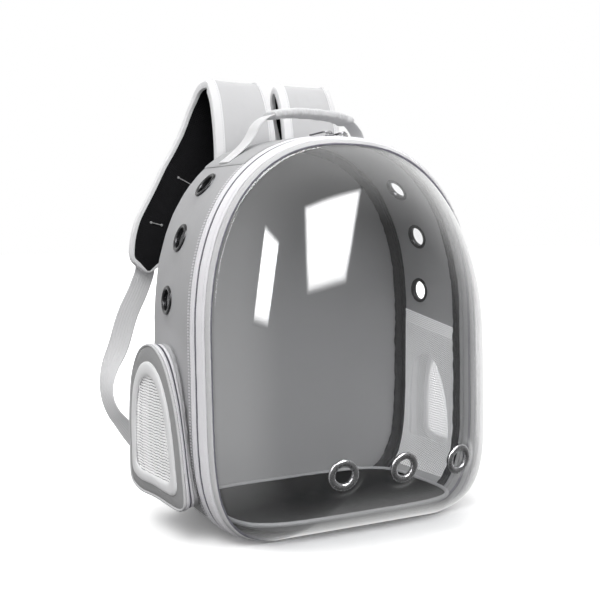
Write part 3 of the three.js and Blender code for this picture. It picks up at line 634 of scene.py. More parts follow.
MATERIALS = {
    "body_cloth": cloth("body_cloth", (0.45, 0.45, 0.46), mottle=0.06, patch=70),
    "panel_cloth": cloth("panel_cloth", (0.46, 0.46, 0.465), mottle=0.05, relief=0.12, patch=90),
    "pocket_cloth": cloth("pocket_cloth", (0.35, 0.35, 0.355), mottle=0.07, patch=50),
    "seam_binding": cloth("seam_binding", (0.012, 0.012, 0.014), pitch=0.7, roughness=0.5, sheen=0),
    "rim_binding": cloth("rim_binding", (0.66, 0.66, 0.67), pitch=1.5, relief=0.3, ribs="X"),
    "zip_tape": cloth("zip_tape", (0.93, 0.92, 0.95), pitch=1.2, relief=0.2, ribs="Y", mottle=0.05),
    "zip_coil": cloth("zip_coil", (0.17, 0.165, 0.2), pitch=0.8, relief=0.05, roughness=0.4),
    "zip_metal": metal("zip_metal", (0.33, 0.33, 0.34), 0.25),
    "zip_pull": cloth("zip_pull", (0.045, 0.045, 0.05), pitch=1.1, relief=0.1, roughness=0.5),
    "clear_window": clear_plastic("clear_window"),
    "bright_ring": metal("bright_ring", (0.42, 0.42, 0.43), 0.26),
    "dark_ring": metal("dark_ring", (0.03, 0.03, 0.032), 0.22, 0.6),
    "mat_top": felt("mat_top", (0.014, 0.014, 0.0145)),
    "mat_side": cloth("mat_side", (0.2, 0.2, 0.205), pitch=1.0),
    "mat_piping": cloth("mat_piping", (0.48, 0.48, 0.49), pitch=1.0),
    # Painted light: the net's glow is an emission that makes the white net brighter, though it is no lamp.
    "net": cloth("net", (0.97, 0.97, 0.98), pitch=0.5, relief=0.05, mottle=0.04, sheen=0.9, glow=0.22),
    "white_binding": cloth("white_binding", (0.9, 0.9, 0.91), pitch=1.0, ribs="X", mottle=0.05),
    "handle_webbing": cloth("handle_webbing", (0.8, 0.8, 0.81), pitch=1.3, ribs="X", relief=0.3),
    "grip_cloth": cloth("grip_cloth", (0.7, 0.7, 0.71), mottle=0.08, patch=30),
    "strap_cloth": cloth("strap_cloth", (0.63, 0.63, 0.64), mottle=0.06),
    "strap_lining": cloth(
        "strap_lining", (0.005, 0.005, 0.006), pitch=2.2, relief=0.4, roughness=0.95, sheen=0, specular=0.1
    ),
    "webbing": cloth("webbing", (0.73, 0.73, 0.74), pitch=1.4, ribs="Y", relief=0.25),
}


def make(shape, name, slot, nodes=(), **options):
    return shape.object(name, MATERIALS[slot], slot, nodes, **options)


def face_with(made, slot, first, last):
    """Gives a run of an object's faces a second material."""
    made.data.materials.append(MATERIALS[slot])
    number = np.arange(len(made.data.polygons))
    made.data.polygons.foreach_set("material_index", ((number >= first) & (number < last)).astype(np.int32))


# Sections of the body

def body_size(depth):
    depth = np.asarray(depth, float)
    flare = RIM_FLARE * (1 - (1 - np.clip(depth / RIM_DEPTH, 0, 1)) ** 3)
    share = (depth - RIM_DEPTH) / (BODY_DEPTH - RIM_DEPTH)
    near = depth <= RIM_DEPTH
    half = np.where(near, RIM_HALF_WIDTH + flare, mix(RIM_HALF_WIDTH + RIM_FLARE, BACK_HALF_WIDTH, share))
    top = np.where(near, RIM_TOP + flare, mix(RIM_TOP + RIM_FLARE, BACK_TOP, share))
    return half, top


def leaned(depth, z):
    return depth + RIM_LEAN * z * (1 - np.maximum(depth, 0) / BODY_DEPTH)


def depth_of(y, z):
    return (y - RIM_LEAN * z) / (1 - RIM_LEAN * z / BODY_DEPTH)


def arch(half, top, inset, turn):
    """Across and up on the arch-shaped outline, by the direction from its middle."""
    c, s = np.cos(turn), np.sin(turn)
    power = np.where(s > 0, TOP_ROUNDNESS, BOTTOM_ROUNDNESS)
    reach = rounded_reach(c, s, power)
    drop = (SPRING_HEIGHT - inset) * (1 + FLOOR_PRESS)
    rise = top - inset - SPRING_HEIGHT
    z = SPRING_HEIGHT + np.where(s > 0, rise, drop) * reach * s
    return (half - inset) * reach * c, np.maximum(z, np.maximum(inset, 0))


def body_point(depth, inset, turn):
    """A point of the body's wall, at a depth and an inset from its outside."""
    half, top = body_size(depth)
    x, z = arch(half, top, inset, turn)
    return np.stack(np.broadcast_arrays(x, leaned(depth, z), z), -1)


DENSE = np.linspace(-np.pi / 2, 1.5 * np.pi, 7201)
MIDDLE_DEPTH = 80.0
MIDDLE_LOOP = body_point(MIDDLE_DEPTH, 0.0, DENSE)
OUTLINE_LENGTHS = lengths_along(MIDDLE_LOOP)
OUTLINE = OUTLINE_LENGTHS[-1]


def turns(count, start=0.0, end=1.0, closed=True):
    """Directions evenly spaced along the outline, as shares from the middle of the bottom."""
    shares = np.linspace(start, end, count, endpoint=not closed)
    return np.interp(shares * OUTLINE, OUTLINE_LENGTHS, DENSE)


def share_at_x(x):
    """Share along the outline where the top right stands at x."""
    upper = (DENSE > 0) & (DENSE < np.pi / 2)
    return np.interp(-x, -MIDDLE_LOOP[upper, 0], OUTLINE_LENGTHS[upper]) / OUTLINE


def hoop_grid(section, turn, bumps=0.0):
    """A closed section, as (depth, inset) rows, carried round the body."""
    section = np.asarray(section, float)
    return body_point(section[:, :1], section[:, 1:] + bumps, turn[None])


def wall_out(y, z, inset=0.0):
    y, z = np.asarray(y, float), np.asarray(z, float)
    half, top = body_size(depth_of(y, z))
    above = z > SPRING_HEIGHT
    power = np.where(above, TOP_ROUNDNESS, BOTTOM_ROUNDNESS)
    drop = (SPRING_HEIGHT - inset) * (1 + FLOOR_PRESS)
    span = np.where(above, top - inset - SPRING_HEIGHT, drop)
    up = np.clip(abs(z - SPRING_HEIGHT) / span, 0, 1)
    return (half - inset) * (1 - up**power) ** (1 / power)


def roof_at(x, y, inset=0.0):
    half, top = body_size(depth_of(y, RIM_TOP))
    across = np.clip(abs(np.asarray(x, float)) / (half - inset), 0, 1)
    rise = top - inset - SPRING_HEIGHT
    return SPRING_HEIGHT + rise * (1 - across**TOP_ROUNDNESS) ** (1 / TOP_ROUNDNESS)


# Vents

def wall_place(side, depth, z):
    step = 2.0

    def at(dy, dz):
        y = leaned(depth, z) + dy
        return np.array([side * wall_out(y, z + dz), y, z + dz])

    normal = unit(np.cross(at(0, step) - at(0, -step), at(step, 0) - at(-step, 0)))
    if normal[0] * side < 0:
        normal = -normal
    return at(0, 0), normal


def flattened(points, place, level, inner=17.0, outer=27.0):
    """Draws a surface round a vent onto the flat level that the ring clamps."""
    point, normal = place
    offset = points - point
    height = offset @ normal
    aside = np.linalg.norm(offset - height[..., None] * normal, axis=-1)
    near = (1 - smooth_step(inner, outer, aside)) * (abs(height) < 30)
    return points + normal * ((level - height) * near)[..., None]


def axes_of(normal):
    side = unit(np.cross([0.0, 0.0, 1.0], normal))
    return np.stack([side, np.cross(normal, side), normal])


def ring_grid(place, vent, thickness, sides=56):
    """An eyelet: two rolled flanges on a barrel, clamped on a sheet of that thickness."""
    point, normal = place
    hole, flange = vent
    side, up, out = axes_of(normal)
    low, high = -thickness - 0.2, 0.2
    profile = []
    for share in np.linspace(0, 1, 9):
        turn = math.pi * share
        radius = mix(flange, hole, (1 - math.cos(turn)) / 2)
        profile.append((radius, high + 2.1 * math.sin(turn) ** 0.8 + 0.15))
    profile += [(hole - 0.1, mix(high, low, t)) for t in (0.2, 0.5, 0.8)]
    for share in np.linspace(0, 1, 7):
        turn = math.pi * share
        radius = mix(hole, flange - 0.6, (1 - math.cos(turn)) / 2)
        profile.append((radius, low - 1.3 * math.sin(turn) ** 0.8 - 0.1))
    barrel = hole + 0.9
    profile += [(barrel, low), (barrel, high)]
    ring = circle(turn_of(sides), side, up)
    return np.array([point + radius * ring + height * out for radius, height in profile])


def cut(made, cutters):
    """Cuts closed shapes out of an object, with the result applied to its mesh."""
    joined = Shape()
    for grid in cutters:
        joined.tube(grid)
    mesh = joined.mesh("cutter")
    cutter = add_object("cutter", mesh)
    modifier = made.modifiers.new("holes", "BOOLEAN")
    modifier.operation = "DIFFERENCE"
    modifier.solver = "EXACT"
    modifier.object = cutter
    apply_modifiers(made)
    bpy.data.objects.remove(cutter)
    bpy.data.meshes.remove(mesh)


def apply_modifiers(made):
    bpy.context.view_layer.update()
    evaluated = made.evaluated_get(bpy.context.evaluated_depsgraph_get())
    mesh = bpy.data.meshes.new_from_object(evaluated)
    old = made.data
    made.modifiers.clear()
    made.data = mesh
    bpy.data.meshes.remove(old)


def drill(place, vent, reach=14.0, sides=48):
    point, normal = place
    side, up, out = axes_of(normal)
    ring = (vent[0] + VENT_ROOM) * circle(turn_of(sides), side, up)
    return np.array([point + ring - reach * out, point + ring + reach * out])


# Wall of the bag

ROUND = 260
REAR_ROUND = 3


def build_body(pocket_openings):
    top_depth = TOP_VENT_BACK * BODY_DEPTH
    top_height = roof_at(HANDLE_HALF_SPAN + TOP_VENT_ROOM, leaned(top_depth, RIM_TOP))
    vents = [(top_depth, top_height)] + [(back * BODY_DEPTH, up * BACK_TOP) for back, up in LOWER_VENTS]
    places = {
        f"side_grommet_{tag}{i + 1}": wall_place(side, depth, z)
        for tag, side in (("l", -1), ("r", 1))
        for i, (depth, z) in enumerate(vents)
    }
    turn = turns(ROUND)
    front = RIM_DEPTH + GAP
    straight = np.linspace(front + 3, BODY_DEPTH - REAR_ROUND, 34)
    edge = REAR_ROUND * np.sin(np.linspace(0, np.pi / 2, 6)[1:])
    depths = np.concatenate([[front, front + 1], straight, BODY_DEPTH - REAR_ROUND + edge])
    beyond = ((depths - BODY_DEPTH + REAR_ROUND) / REAR_ROUND).clip(0, 1)
    rounding = 2.2 * (1 - np.sqrt(np.clip(1 - beyond**2, 0, 1)))
    outer = body_point(depths[:, None], rounding[:, None], turn[None])
    soft = ripple(outer, 38, 1.0, 3) * 0.7 + ripple(outer * [1, 3, 1], 26, 2.0) * 0.35
    outer = body_point(depths[:, None], rounding[:, None] + 0.45 - soft * 0.6, turn[None])
    inner = body_point(depths[::-1][:, None], WALL, turn[None])
    for place in places.values():
        outer = flattened(outer, place, 0.0)
        inner = flattened(inner, place, -WALL)
    shape = Shape().ring(np.concatenate([outer, inner]))
    made = make(shape, "gusset_cloth", "body_cloth", ["gusset_shell"])
    face_with(made, "panel_cloth", len(depths) * ROUND, len(made.data.polygons))
    cut(made, [drill(place, SIDE_VENT) for place in places.values()] + pocket_openings)
    for name, place in places.items():
        ring = Shape().ring(ring_grid(place, SIDE_VENT, WALL))
        make(ring, f"{name}_eyelet", "dark_ring", [name])
    build_top_panel()


def build_top_panel():
    """The strip of cloth over the top, lapped over the side cloth at its two ends."""
    start = share_at_x(SEWN_HALF_SPAN + 2.5)
    turn = turns(120, start, 1 - start, closed=False)
    depths = np.concatenate([[35.2], np.linspace(36.5, 165.5, 30), [167.0]])
    ends = np.minimum(np.arange(120), np.arange(120)[::-1]) / 2.0
    roll = 0.5 * (1 - np.clip(ends, 0, 1)) ** 2
    base = body_point(depths[:, None], 0.0, turn[None])
    soft = ripple(base, 30, 4.0, 3) * 0.3
    lift = 0.95 - roll[None] - soft * 0.4
    outer = body_point(depths[:, None], -lift, turn[None])
    inner = body_point(depths[:, None], -lift + 0.7, turn[None])
    loops = np.concatenate([outer.transpose(1, 0, 2), inner.transpose(1, 0, 2)[:, ::-1]], 1)
    made = make(Shape().tube(loops), "top_panel_cloth", "body_cloth")


def build_back_panel():
    turn = turns(ROUND)
    inset = WALL + GAP
    front, middle = BODY_DEPTH - PANEL, 200.0
    shares = [0.02, 0.15, 0.3, 0.45, 0.58, 0.68, 0.76, 0.83, 0.88, 0.91, 0.93, 0.95, 0.97, 0.985, 1.0]

    def row(share, depth, crown):
        edge = body_point(depth, inset, turn)
        x, z = edge[:, 0] * share, mix(middle, edge[:, 2], share)
        puff = crown * (1 - smooth_step(0.45, 0.92, share))
        if crown > 0:
            stitched = 0.9 * math.exp(-(((share - 0.93) / 0.012) ** 2))
            puff = puff * (1 - smooth_step(330, 385, z)) - stitched
        return np.stack([x, leaned(depth, z) + puff, z], -1)

    rows = [row(share, front, -2.5) for share in shares]
    rows += [row(1.0, depth, 0.0) for depth in np.linspace(front + 2, BODY_DEPTH - 2.5, 4)]
    rows += [row(share, BODY_DEPTH, 5.0) for share in reversed(shares[:-1])]
    made = make(Shape().tube(rows), "back_panel_pad", "panel_cloth", ["back_panel"])


# Rim

def rounded_section(front, rear, thickness, crown=0.0, count=7):
    """A tape's section: crowned outside, flat inside, with round edges, as (depth, inset) rows."""
    share = np.linspace(0, 1, count)
    lift = 0.45 * abs(2 * share - 1) ** 6 - crown * np.sin(math.pi * share)
    outer = list(zip(mix(front, rear, share), lift))
    inner = [(mix(rear, front, s), thickness) for s in (0.03, 0.5, 0.97)]
    return outer + inner


def build_rim():
    turn = turns(420)
    binding = []
    for angle in turn_of(14, 0.5):
        c, s = math.cos(angle), math.sin(angle)
        depth = BINDING_DEPTH / 2 * (1 + math.copysign(abs(c) ** 0.75, c))
        binding.append((depth, BINDING_THICKNESS / 2 * (1 + math.copysign(abs(s) ** 0.75, s))))
    base = hoop_grid(binding, turn)
    bumps = ripple(base, 5, 3.0) * 0.22
    shape = Shape().ring(hoop_grid(binding, turn, bumps))
    made = make(shape, "rim_binding_cloth", "rim_binding", ["rim_binding"])
    # Painted shade: the binding's inner half, in shade inside the bag, is given the dark coil material.
    face_with(made, "zip_coil", 0, 7 * len(turn))
    coil_front, coil_rear = COIL_PLACE - COIL_DEPTH / 2, COIL_PLACE + COIL_DEPTH / 2
    spans = {
        "rim_tape_front": (BINDING_DEPTH + GAP, coil_front - 0.1),
        "rim_tape_rear": (coil_rear + 0.1, RIM_DEPTH),
    }
    for name, (front, rear) in spans.items():
        section = rounded_section(front, rear, TAPE_THICKNESS, 0.5, 9)
        base = hoop_grid(section, turn)
        bumps = ripple(base, 16, 5.0) * 0.25
        shape = Shape().ring(hoop_grid(section, turn, bumps))
        made = make(shape, f"{name}_cloth", "zip_tape", [name])
        # Painted shade: the tape's inner face and rear edge, in shade inside the bag, are given the grey
        # panel cloth instead of the white tape.
        face_with(made, "panel_cloth", 8 * len(turn), 11 * len(turn))
    build_coil(coil_front, coil_rear)
    sewing = Shape()
    fine = turns(900)
    for depth, inset in STITCH_ROWS:
        path = body_point(depth, inset, fine)
        clear = path[:, 2] > STITCH_FOOT
        stitches(sewing, path[clear], outward(path)[clear])
    make(sewing, "rim_stitches", "zip_tape")


def outward(points):
    """Outward direction in the section plane along a closed loop round the body."""
    along = np.roll(points, -1, 0) - np.roll(points, 1, 0)
    normals = unit(np.cross(along, [0.0, 1.0, 0.0]))
    inward = (normals[:, 2] * (points[:, 2] - SPRING_HEIGHT)).sum() < 0
    return -normals if inward else normals


def build_coil(front, rear):
    turn = turns(420)
    bed = [(front + 0.1, 1.2), (rear - 0.1, 1.2), (rear - 0.1, 2.8), (front + 0.1, 2.8)]
    shape = Shape().ring(hoop_grid(bed, turn))
    centre = body_point((front + rear) / 2, 0.7, turns(int(OUTLINE / COIL_PITCH)))
    normals = outward(centre)
    along = unit(np.roll(centre, -1, 0) - np.roll(centre, 1, 0))
    across = np.cross(normals, along)
    tilt = unit(across + along * 0.18)
    frames = np.stack([tilt, unit(np.cross(normals, tilt)), normals], 1)
    stamp(shape, stitch_grid(COIL_DEPTH - 0.3, 1.05, 1.3), centre, frames)
    make(shape, "rim_coil_teeth", "zip_coil", ["rim_coil"])


def build_seams():
    turn = turns(520)
    for name, (front, rear), fold, seed in (
        ("seam_binding_rear", REAR_SEAM, REAR_SEAM_FOLD, 6.0),
        ("seam_binding_front", FRONT_SEAM, 0.0, 8.0),
    ):
        inset = WALL + GAP
        section = []
        for share in np.linspace(0, 1, 13):
            lobes = abs(math.sin(2 * math.pi * share)) ** 0.6
            lift = 0.8 + (SEAM_THICKNESS - 0.8) * lobes + fold * float(smooth_step(0.6, 0.96, share))
            section.append((mix(front, rear, share), inset + lift))
        section += [(rear, inset), (mix(front, rear, 0.5), inset), (front, inset)]
        base = hoop_grid(section, turn)
        folds = ripple(base * [1, 0.35, 1], 9, seed, 3) * 1.0 + ripple(base, 4, seed) * 0.3
        folds[13:] = 0
        grid = hoop_grid(section, turn, folds)
        grid[..., 1] += ripple(base * [1, 0.2, 1], 22, seed + 1) * 1.0
        make(Shape().ring(grid), f"{name}_cloth", "seam_binding", [name])


# Clear window

BUBBLE_HALF = RIM_HALF_WIDTH - BUBBLE_INSET
BUBBLE_TOP = RIM_TOP - BUBBLE_INSET


def bubble_point(turn, share, inset=0.0):
    x, z = arch(BUBBLE_HALF, BUBBLE_TOP, BUBBLE_INSET + inset, turn)
    z = mix(BUBBLE_CENTRE, z, share)
    reach = (BUBBLE_DEPTH - inset) * (1 - share**BUBBLE_FLATNESS)
    return np.stack(np.broadcast_arrays(x * share, leaned(-GAP - reach, z), z), -1)


def bubble_share(x, z):
    """How far out from its middle a place on the window lies, as a share of the outline."""
    x, z = np.asarray(x, float), np.asarray(z, float)
    low, high = np.full(x.shape, 1e-4), np.full(x.shape, 2.0)
    for _ in range(40):
        share = (low + high) / 2
        across = abs(x / share) / (BUBBLE_HALF - BUBBLE_INSET)
        rise = BUBBLE_CENTRE + (z - BUBBLE_CENTRE) / share - SPRING_HEIGHT
        above = rise > 0
        power = np.where(above, TOP_ROUNDNESS, BOTTOM_ROUNDNESS)
        drop = (SPRING_HEIGHT - BUBBLE_INSET) * (1 + FLOOR_PRESS)
        span = np.where(above, BUBBLE_TOP - BUBBLE_INSET - SPRING_HEIGHT, drop)
        outside = across**power + (abs(rise) / span) ** power > 1
        low, high = np.where(outside, share, low), np.where(outside, high, share)
    return (low + high) / 2


def bubble_front(x, z):
    share = np.minimum(bubble_share(x, z), 1)
    return leaned(-GAP - BUBBLE_DEPTH * (1 - share**BUBBLE_FLATNESS), z)


def bubble_place(x, z):
    step = 1.0
    slope_x = (bubble_front(x + step, z) - bubble_front(x - step, z)) / (2 * step)
    slope_z = (bubble_front(x, z + step) - bubble_front(x, z - step)) / (2 * step)
    normal = unit(np.stack(np.broadcast_arrays(slope_x, -1.0, slope_z), -1))
    return np.stack(np.broadcast_arrays(x, bubble_front(x, z), z), -1), normal


def build_bubble():
    turn = turns(360)
    profile = np.linspace(1, 0, 400)
    height = BUBBLE_DEPTH * (1 - profile**BUBBLE_FLATNESS)
    steps = np.hypot(np.diff(profile) * 190, np.diff(height))
    shares = np.interp(
        np.linspace(0, steps.sum() * 0.995, 78), np.concatenate([[0], np.cumsum(steps)]), profile
    )
    outer = np.array([bubble_point(turn, share) for share in shares])
    inner = np.array([bubble_point(turn, share, BUBBLE_THICKNESS) for share in shares])
    places = [
        bubble_place(column * BUBBLE_VENT_SPACING, BUBBLE_VENT_HEIGHT) for column in (-1.0, 0.0, 1.0)
    ]
    for place in places:
        outer = flattened(outer, place, 0.0, 16.5, 25)
        inner = flattened(inner, place, -BUBBLE_THICKNESS, 16.5, 25)
    shape = Shape().tube(np.concatenate([outer[::-1], inner]))
    made = make(shape, "bubble_sheet", "clear_window", ["bubble"], sharp=70)
    cut(made, [drill(place, BUBBLE_VENT) for place in places])
    for i, place in enumerate(places):
        ring = Shape().ring(ring_grid(place, BUBBLE_VENT, BUBBLE_THICKNESS))
        make(ring, f"bubble_eyelet_{i + 1}", "bright_ring", [f"bubble_grommet_{i + 1}"])


# Floor mat

def mat_loop(z, front, inset=0.0, count=160):
    inside = WALL + SEAM_THICKNESS + GAP * 2 + MAT_SIDE_ROOM
    rear = BODY_DEPTH - PANEL - MAT_REAR_ROOM
    half = wall_out(BODY_DEPTH / 2, z, inside) - inset
    middle, long = (front + rear) / 2, (rear - front) / 2 - inset
    turn = turn_of(count)
    c, s = np.cos(turn), np.sin(turn)
    reach = rounded_reach(c, s, MAT_CORNER_POWER)
    return np.stack([half * reach * c, middle + long * reach * s, np.full(count, float(z))], -1)


def build_mat():
    foot, top = WALL + SEAM_THICKNESS + GAP * 2, MAT_TOP - MAT_COVER - GAP
    rows = [mat_loop(foot, MAT_FOOT, 8 * t) for t in (14, 6, 2, 0.5)]
    for share in np.linspace(0, 1, 12):
        bulge = MAT_BULGE * math.sin(math.pi * share)
        rows.append(mat_loop(mix(foot, top, share), mix(MAT_FOOT, MAT_FRONT, share**0.8), 1.0 - bulge))
    rows += [mat_loop(top, MAT_FRONT, inset) for inset in (5, 30, 60)]
    pad = make(Shape().tube(rows), "mat_cushion", "mat_side", ["mat_pad"])
    rings = [mat_loop(z, MAT_FRONT, MAT_FELT_INSET) for z in (top + GAP, top + MAT_COVER)]
    rings += [mat_loop(top + 2.3, MAT_FRONT, MAT_FELT_INSET + step) for step in MAT_FELT_STEPS]
    rings = np.array(rings)
    soft = ripple(rings[2:], 45, 9.0, 3) * 1.1
    rings[2:, :, 2] += soft - 0.3
    make(Shape().tube(rings), "mat_felt", "mat_top", ["mat_cover"])
    path = mat_loop(top + MAT_COVER + GAP, MAT_FRONT, MAT_PIPING_RADIUS, 260)
    section = oval(MAT_PIPING_RADIUS * 2, MAT_PIPING_RADIUS * 2, 12)
    cord = swept(path, np.array([0.0, 0.0, 1.0]), section, closed=True)
    cord[..., 2] += ripple(path, 10, 3.0)[:, None] * 0.2
    make(Shape().ring(cord), "mat_piping_cord", "mat_piping", ["mat_piping"])


# Side pockets

def even_loop(corners, count):
    path = Path([(u, v, 0.0) for u, v in corners], closed=True)
    return path.at(np.arange(count) / count)[:, :2]


def shrink(loop, distance):
    centre = loop.mean(0)
    along = unit(np.roll(loop, -1, 0) - np.roll(loop, 1, 0))
    inward = np.stack([-along[:, 1], along[:, 0]], -1)
    inward *= np.sign((inward * (centre - loop)).sum(1, keepdims=True))
    return loop + inward * np.asarray(distance, float)[..., None]


POCKET_COUNT = 200
FACE_LOOP = even_loop(
    [(POCKET_REAR - POCKET_LENGTH * (1 - a), POCKET_FOOT + POCKET_HEIGHT * u) for a, u in POCKET_SHARES],
    POCKET_COUNT,
)
BASE_FRONT = RIM_DEPTH + POCKET_BASE_INSET
BASE_LOOP = even_loop(
    [
        (
            mix(BASE_FRONT, POCKET_REAR - POCKET_BASE_INSET, a),
            POCKET_FOOT + POCKET_BASE_INSET / 2 + (POCKET_HEIGHT - POCKET_BASE_INSET) * u,
        )
        for a, u in POCKET_SHARES
    ],
    POCKET_COUNT,
)
FACE_CENTRE = FACE_LOOP.mean(0)


def pocket_face_out(y):
    share = (y - (POCKET_REAR - POCKET_LENGTH)) / POCKET_LENGTH
    front = RIM_HALF_WIDTH + RIM_FLARE + POCKET_OUT_FRONT
    return mix(front, BACK_HALF_WIDTH + POCKET_OUT_REAR, share)


def pocket_point(side, share, inset):
    """Points of the pocket's side wall: share 0 at the body, 1 at the face."""
    base, face = shrink(BASE_LOOP, inset), shrink(FACE_LOOP, inset)
    seat = wall_out(base[:, 0], base[:, 1]) + GAP
    start = np.stack([seat, base[:, 0], base[:, 1]], -1)
    end = np.stack([pocket_face_out(face[:, 0]), face[:, 0], face[:, 1]], -1)
    return mix(start, end, share) * np.array([side, 1, 1])


def face_point(side, share, lift, inset=0.0):
    """Points of the pocket's face, at a share of its outline, lifted off it and crowned."""
    loop = (shrink(FACE_LOOP, inset) - FACE_CENTRE) * share + FACE_CENTRE
    return raised(side, loop, lift + POCKET_CROWN * (1 - share**2))


def raised(side, loop, lift):
    return np.stack([side * (pocket_face_out(loop[:, 0]) + lift), loop[:, 0], loop[:, 1]], -1)


def pocket_opening(side):
    centre = BASE_LOOP.mean(0)
    loop = (BASE_LOOP - centre) * OPENING_SHARE + centre
    return np.array(
        [np.stack([np.full(POCKET_COUNT, side * x), loop[:, 0], loop[:, 1]], -1) for x in (120.0, 240.0)]
    )


def build_pocket(tag, side):
    tape, coil, inner, room = (
        width / POCKET_SIDE for width in (POCKET_TAPE, POCKET_COIL, POCKET_INNER_TAPE, GAP)
    )
    outer_tape = (1 - tape, 1.0)
    coil_span = (outer_tape[0] - room - coil, outer_tape[0] - room)
    inner_tape = (coil_span[0] - room - inner, coil_span[0] - room)
    build_pocket_gusset(tag, side, inner_tape[0] - room)
    for name, (low, high) in (("tape_inner", inner_tape), ("tape_outer", outer_tape)):
        rows = [
            pocket_point(side, mix(low, high, t), 0.3 * abs(2 * t - 1) ** 4 - 0.4 * math.sin(math.pi * t))
            for t in np.linspace(0, 1, 7)
        ]
        rows += [pocket_point(side, share, POCKET_SKIN) for share in (high, low)]
        make(Shape().ring(rows), f"pocket_{name}_cloth_{tag}", "zip_tape", [f"pocket_{name}_{tag}"])
    build_pocket_coil(tag, side, coil_span)
    build_pocket_face(tag, side)
    build_pocket_net(tag, side)


def build_pocket_gusset(tag, side, end):
    """The pocket's cloth side, puffed out in pleats between the wall and the zipper."""
    start = -0.06
    pleats = ripple(pocket_point(side, 0.5, 0.0), 13, 11.0 + side, 2)
    rows = []
    for share in np.linspace(start, end, 14):
        middle = math.sin(math.pi * min(max(share / end, 0), 1))
        rows.append(pocket_point(side, share, -middle * (2.2 + 2.8 * pleats)))
    rows += [pocket_point(side, share, POCKET_SKIN) for share in (end, end / 2, start)]
    make(Shape().ring(rows), f"pocket_gusset_cloth_{tag}", "body_cloth", [f"pocket_gusset_{tag}"])


def build_pocket_coil(tag, side, span):
    low, high = span
    corners = ((low, 0.9), (high, 0.9), (high, 1.6), (low, 1.6))
    bed = [pocket_point(side, share, inset) for share, inset in corners]
    shape = Shape().ring(bed)
    path = pocket_point(side, (low + high) / 2, 0.4)
    ahead = pocket_point(side, high, 0.4) - pocket_point(side, low, 0.4)
    lengths = lengths_along(np.concatenate([path, path[:1]]))
    places = np.arange(0, lengths[-1], COIL_PITCH)

    def along_path(values):
        return read_at(places, lengths, np.concatenate([values, values[:1]]))

    across = unit(along_path(ahead))
    along = unit(along_path(np.roll(path, -1, 0) - np.roll(path, 1, 0)))
    up = unit(np.cross(across, along))
    frames = np.stack([across, np.cross(up, across), up], 1)
    stamp(shape, stitch_grid(POCKET_COIL, 1.0, 1.1), along_path(path), frames)
    make(shape, f"pocket_coil_teeth_{tag}", "zip_coil", [f"pocket_coil_{tag}"])


def build_pocket_face(tag, side):
    """The padded frame round the pocket's net, the piping outside it and the binding inside."""
    top = GAP + POCKET_FRAME
    outer_rim = shrink(FACE_LOOP, POCKET_PIPING + GAP) - FACE_CENTRE
    inner_rim = (FACE_LOOP - FACE_CENTRE) * WINDOW_SHARE
    rows = [face_point(side, 1, GAP, POCKET_PIPING + GAP)]
    for t in np.linspace(0, 1, 14):
        crown = POCKET_CROWN * (1 - mix(1.0, WINDOW_SHARE, t) ** 2)
        lift = top + crown + 1.1 * math.sin(math.pi * t) ** 0.7
        row = raised(side, mix(outer_rim, inner_rim, t) + FACE_CENTRE, lift)
        row[:, 0] += side * ripple(row, 24, 12.0, 3) * 0.55 * math.sin(math.pi * t)
        rows.append(row)
    rows.append(face_point(side, WINDOW_SHARE, GAP))
    make(Shape().ring(rows), f"pocket_frame_cloth_{tag}", "pocket_cloth", [f"pocket_frame_{tag}"])

    path = face_point(side, 1, GAP + POCKET_PIPING / 2, POCKET_PIPING / 2)
    cord = swept(path, np.array([side, 0.0, 0.0]), oval(POCKET_PIPING, POCKET_PIPING, 12), closed=True)
    make(Shape().ring(cord), f"pocket_piping_cord_{tag}", "rim_binding", [f"pocket_piping_{tag}"])

    low, high = WINDOW_SHARE - WINDOW_BINDING_SHARE, WINDOW_SHARE + WINDOW_LAP_SHARE
    rows = []
    for t in np.linspace(0, 1, 9):
        lift = top + 1.2 + 1.0 * math.sin(math.pi * t) ** 0.6 + (0.9 if 0.1 < t < 0.9 else 0.4)
        rows.append(face_point(side, mix(high, low, t), lift))
    rows += [face_point(side, low, top + GAP), face_point(side, high, top + GAP)]
    make(Shape().ring(rows), f"pocket_window_trim_{tag}", "white_binding", [f"pocket_window_binding_{tag}"])


def inside_spans(outline, value, axis):
    """Where a line of one coordinate crosses a closed outline, lowest and highest."""
    other = 1 - axis
    a, b = outline, np.roll(outline, -1, 0)
    crosses = (a[:, axis] - value) * (b[:, axis] - value) < 0
    a, b = a[crosses], b[crosses]
    share = (value - a[:, axis]) / (b[:, axis] - a[:, axis])
    hits = mix(a[:, other], b[:, other], share)
    return (hits.min(), hits.max()) if len(hits) > 1 else None


def pocket_surface(side, y, z, lift):
    offset = np.stack([y, z], -1) - FACE_CENTRE
    reach = np.hypot(offset[..., 0] / (POCKET_LENGTH / 2), offset[..., 1] / (POCKET_HEIGHT / 2))
    crown = POCKET_CROWN * (1 - np.clip(reach, 0, 1) ** 2)
    return np.stack([side * (pocket_face_out(y) + lift + crown), y, z], -1)


def build_pocket_net(tag, side):
    share = WINDOW_SHARE - WINDOW_BINDING_SHARE + 0.015
    outline = (FACE_LOOP - FACE_CENTRE) * share + FACE_CENTRE
    low, high = outline.min(0), outline.max(0)
    normal = np.array([side, 0.0, 0.0])
    shape = Shape()
    for z in np.arange(low[1] + 0.6, high[1], POCKET_NET_ROW_PITCH):
        span = inside_spans(outline, z, 1)
        if span is None:
            continue
        y = np.linspace(*span, 26)
        points = pocket_surface(side, y, np.full(26, z), 1.7)
        points[:, 2] += 0.25 * np.sin(y / 2.6)
        shape.tube(swept(points, normal, oval(*POCKET_NET_ROW, 6)))
    for y in np.arange(low[0] + 1, high[0], POCKET_NET_THREAD_PITCH):
        span = inside_spans(outline, y, 0)
        if span is None:
            continue
        z = np.linspace(*span, 40)
        points = pocket_surface(side, np.full(40, y), z, 1.45)
        points[:, 1] += 0.35 * np.sin(z / 1.7 * math.pi)
        shape.tube(swept(points, normal, oval(*POCKET_NET_THREAD, 4)))
    make(shape, f"pocket_mesh_{tag}", "net", [f"pocket_net_{tag}"])


# Nets inside

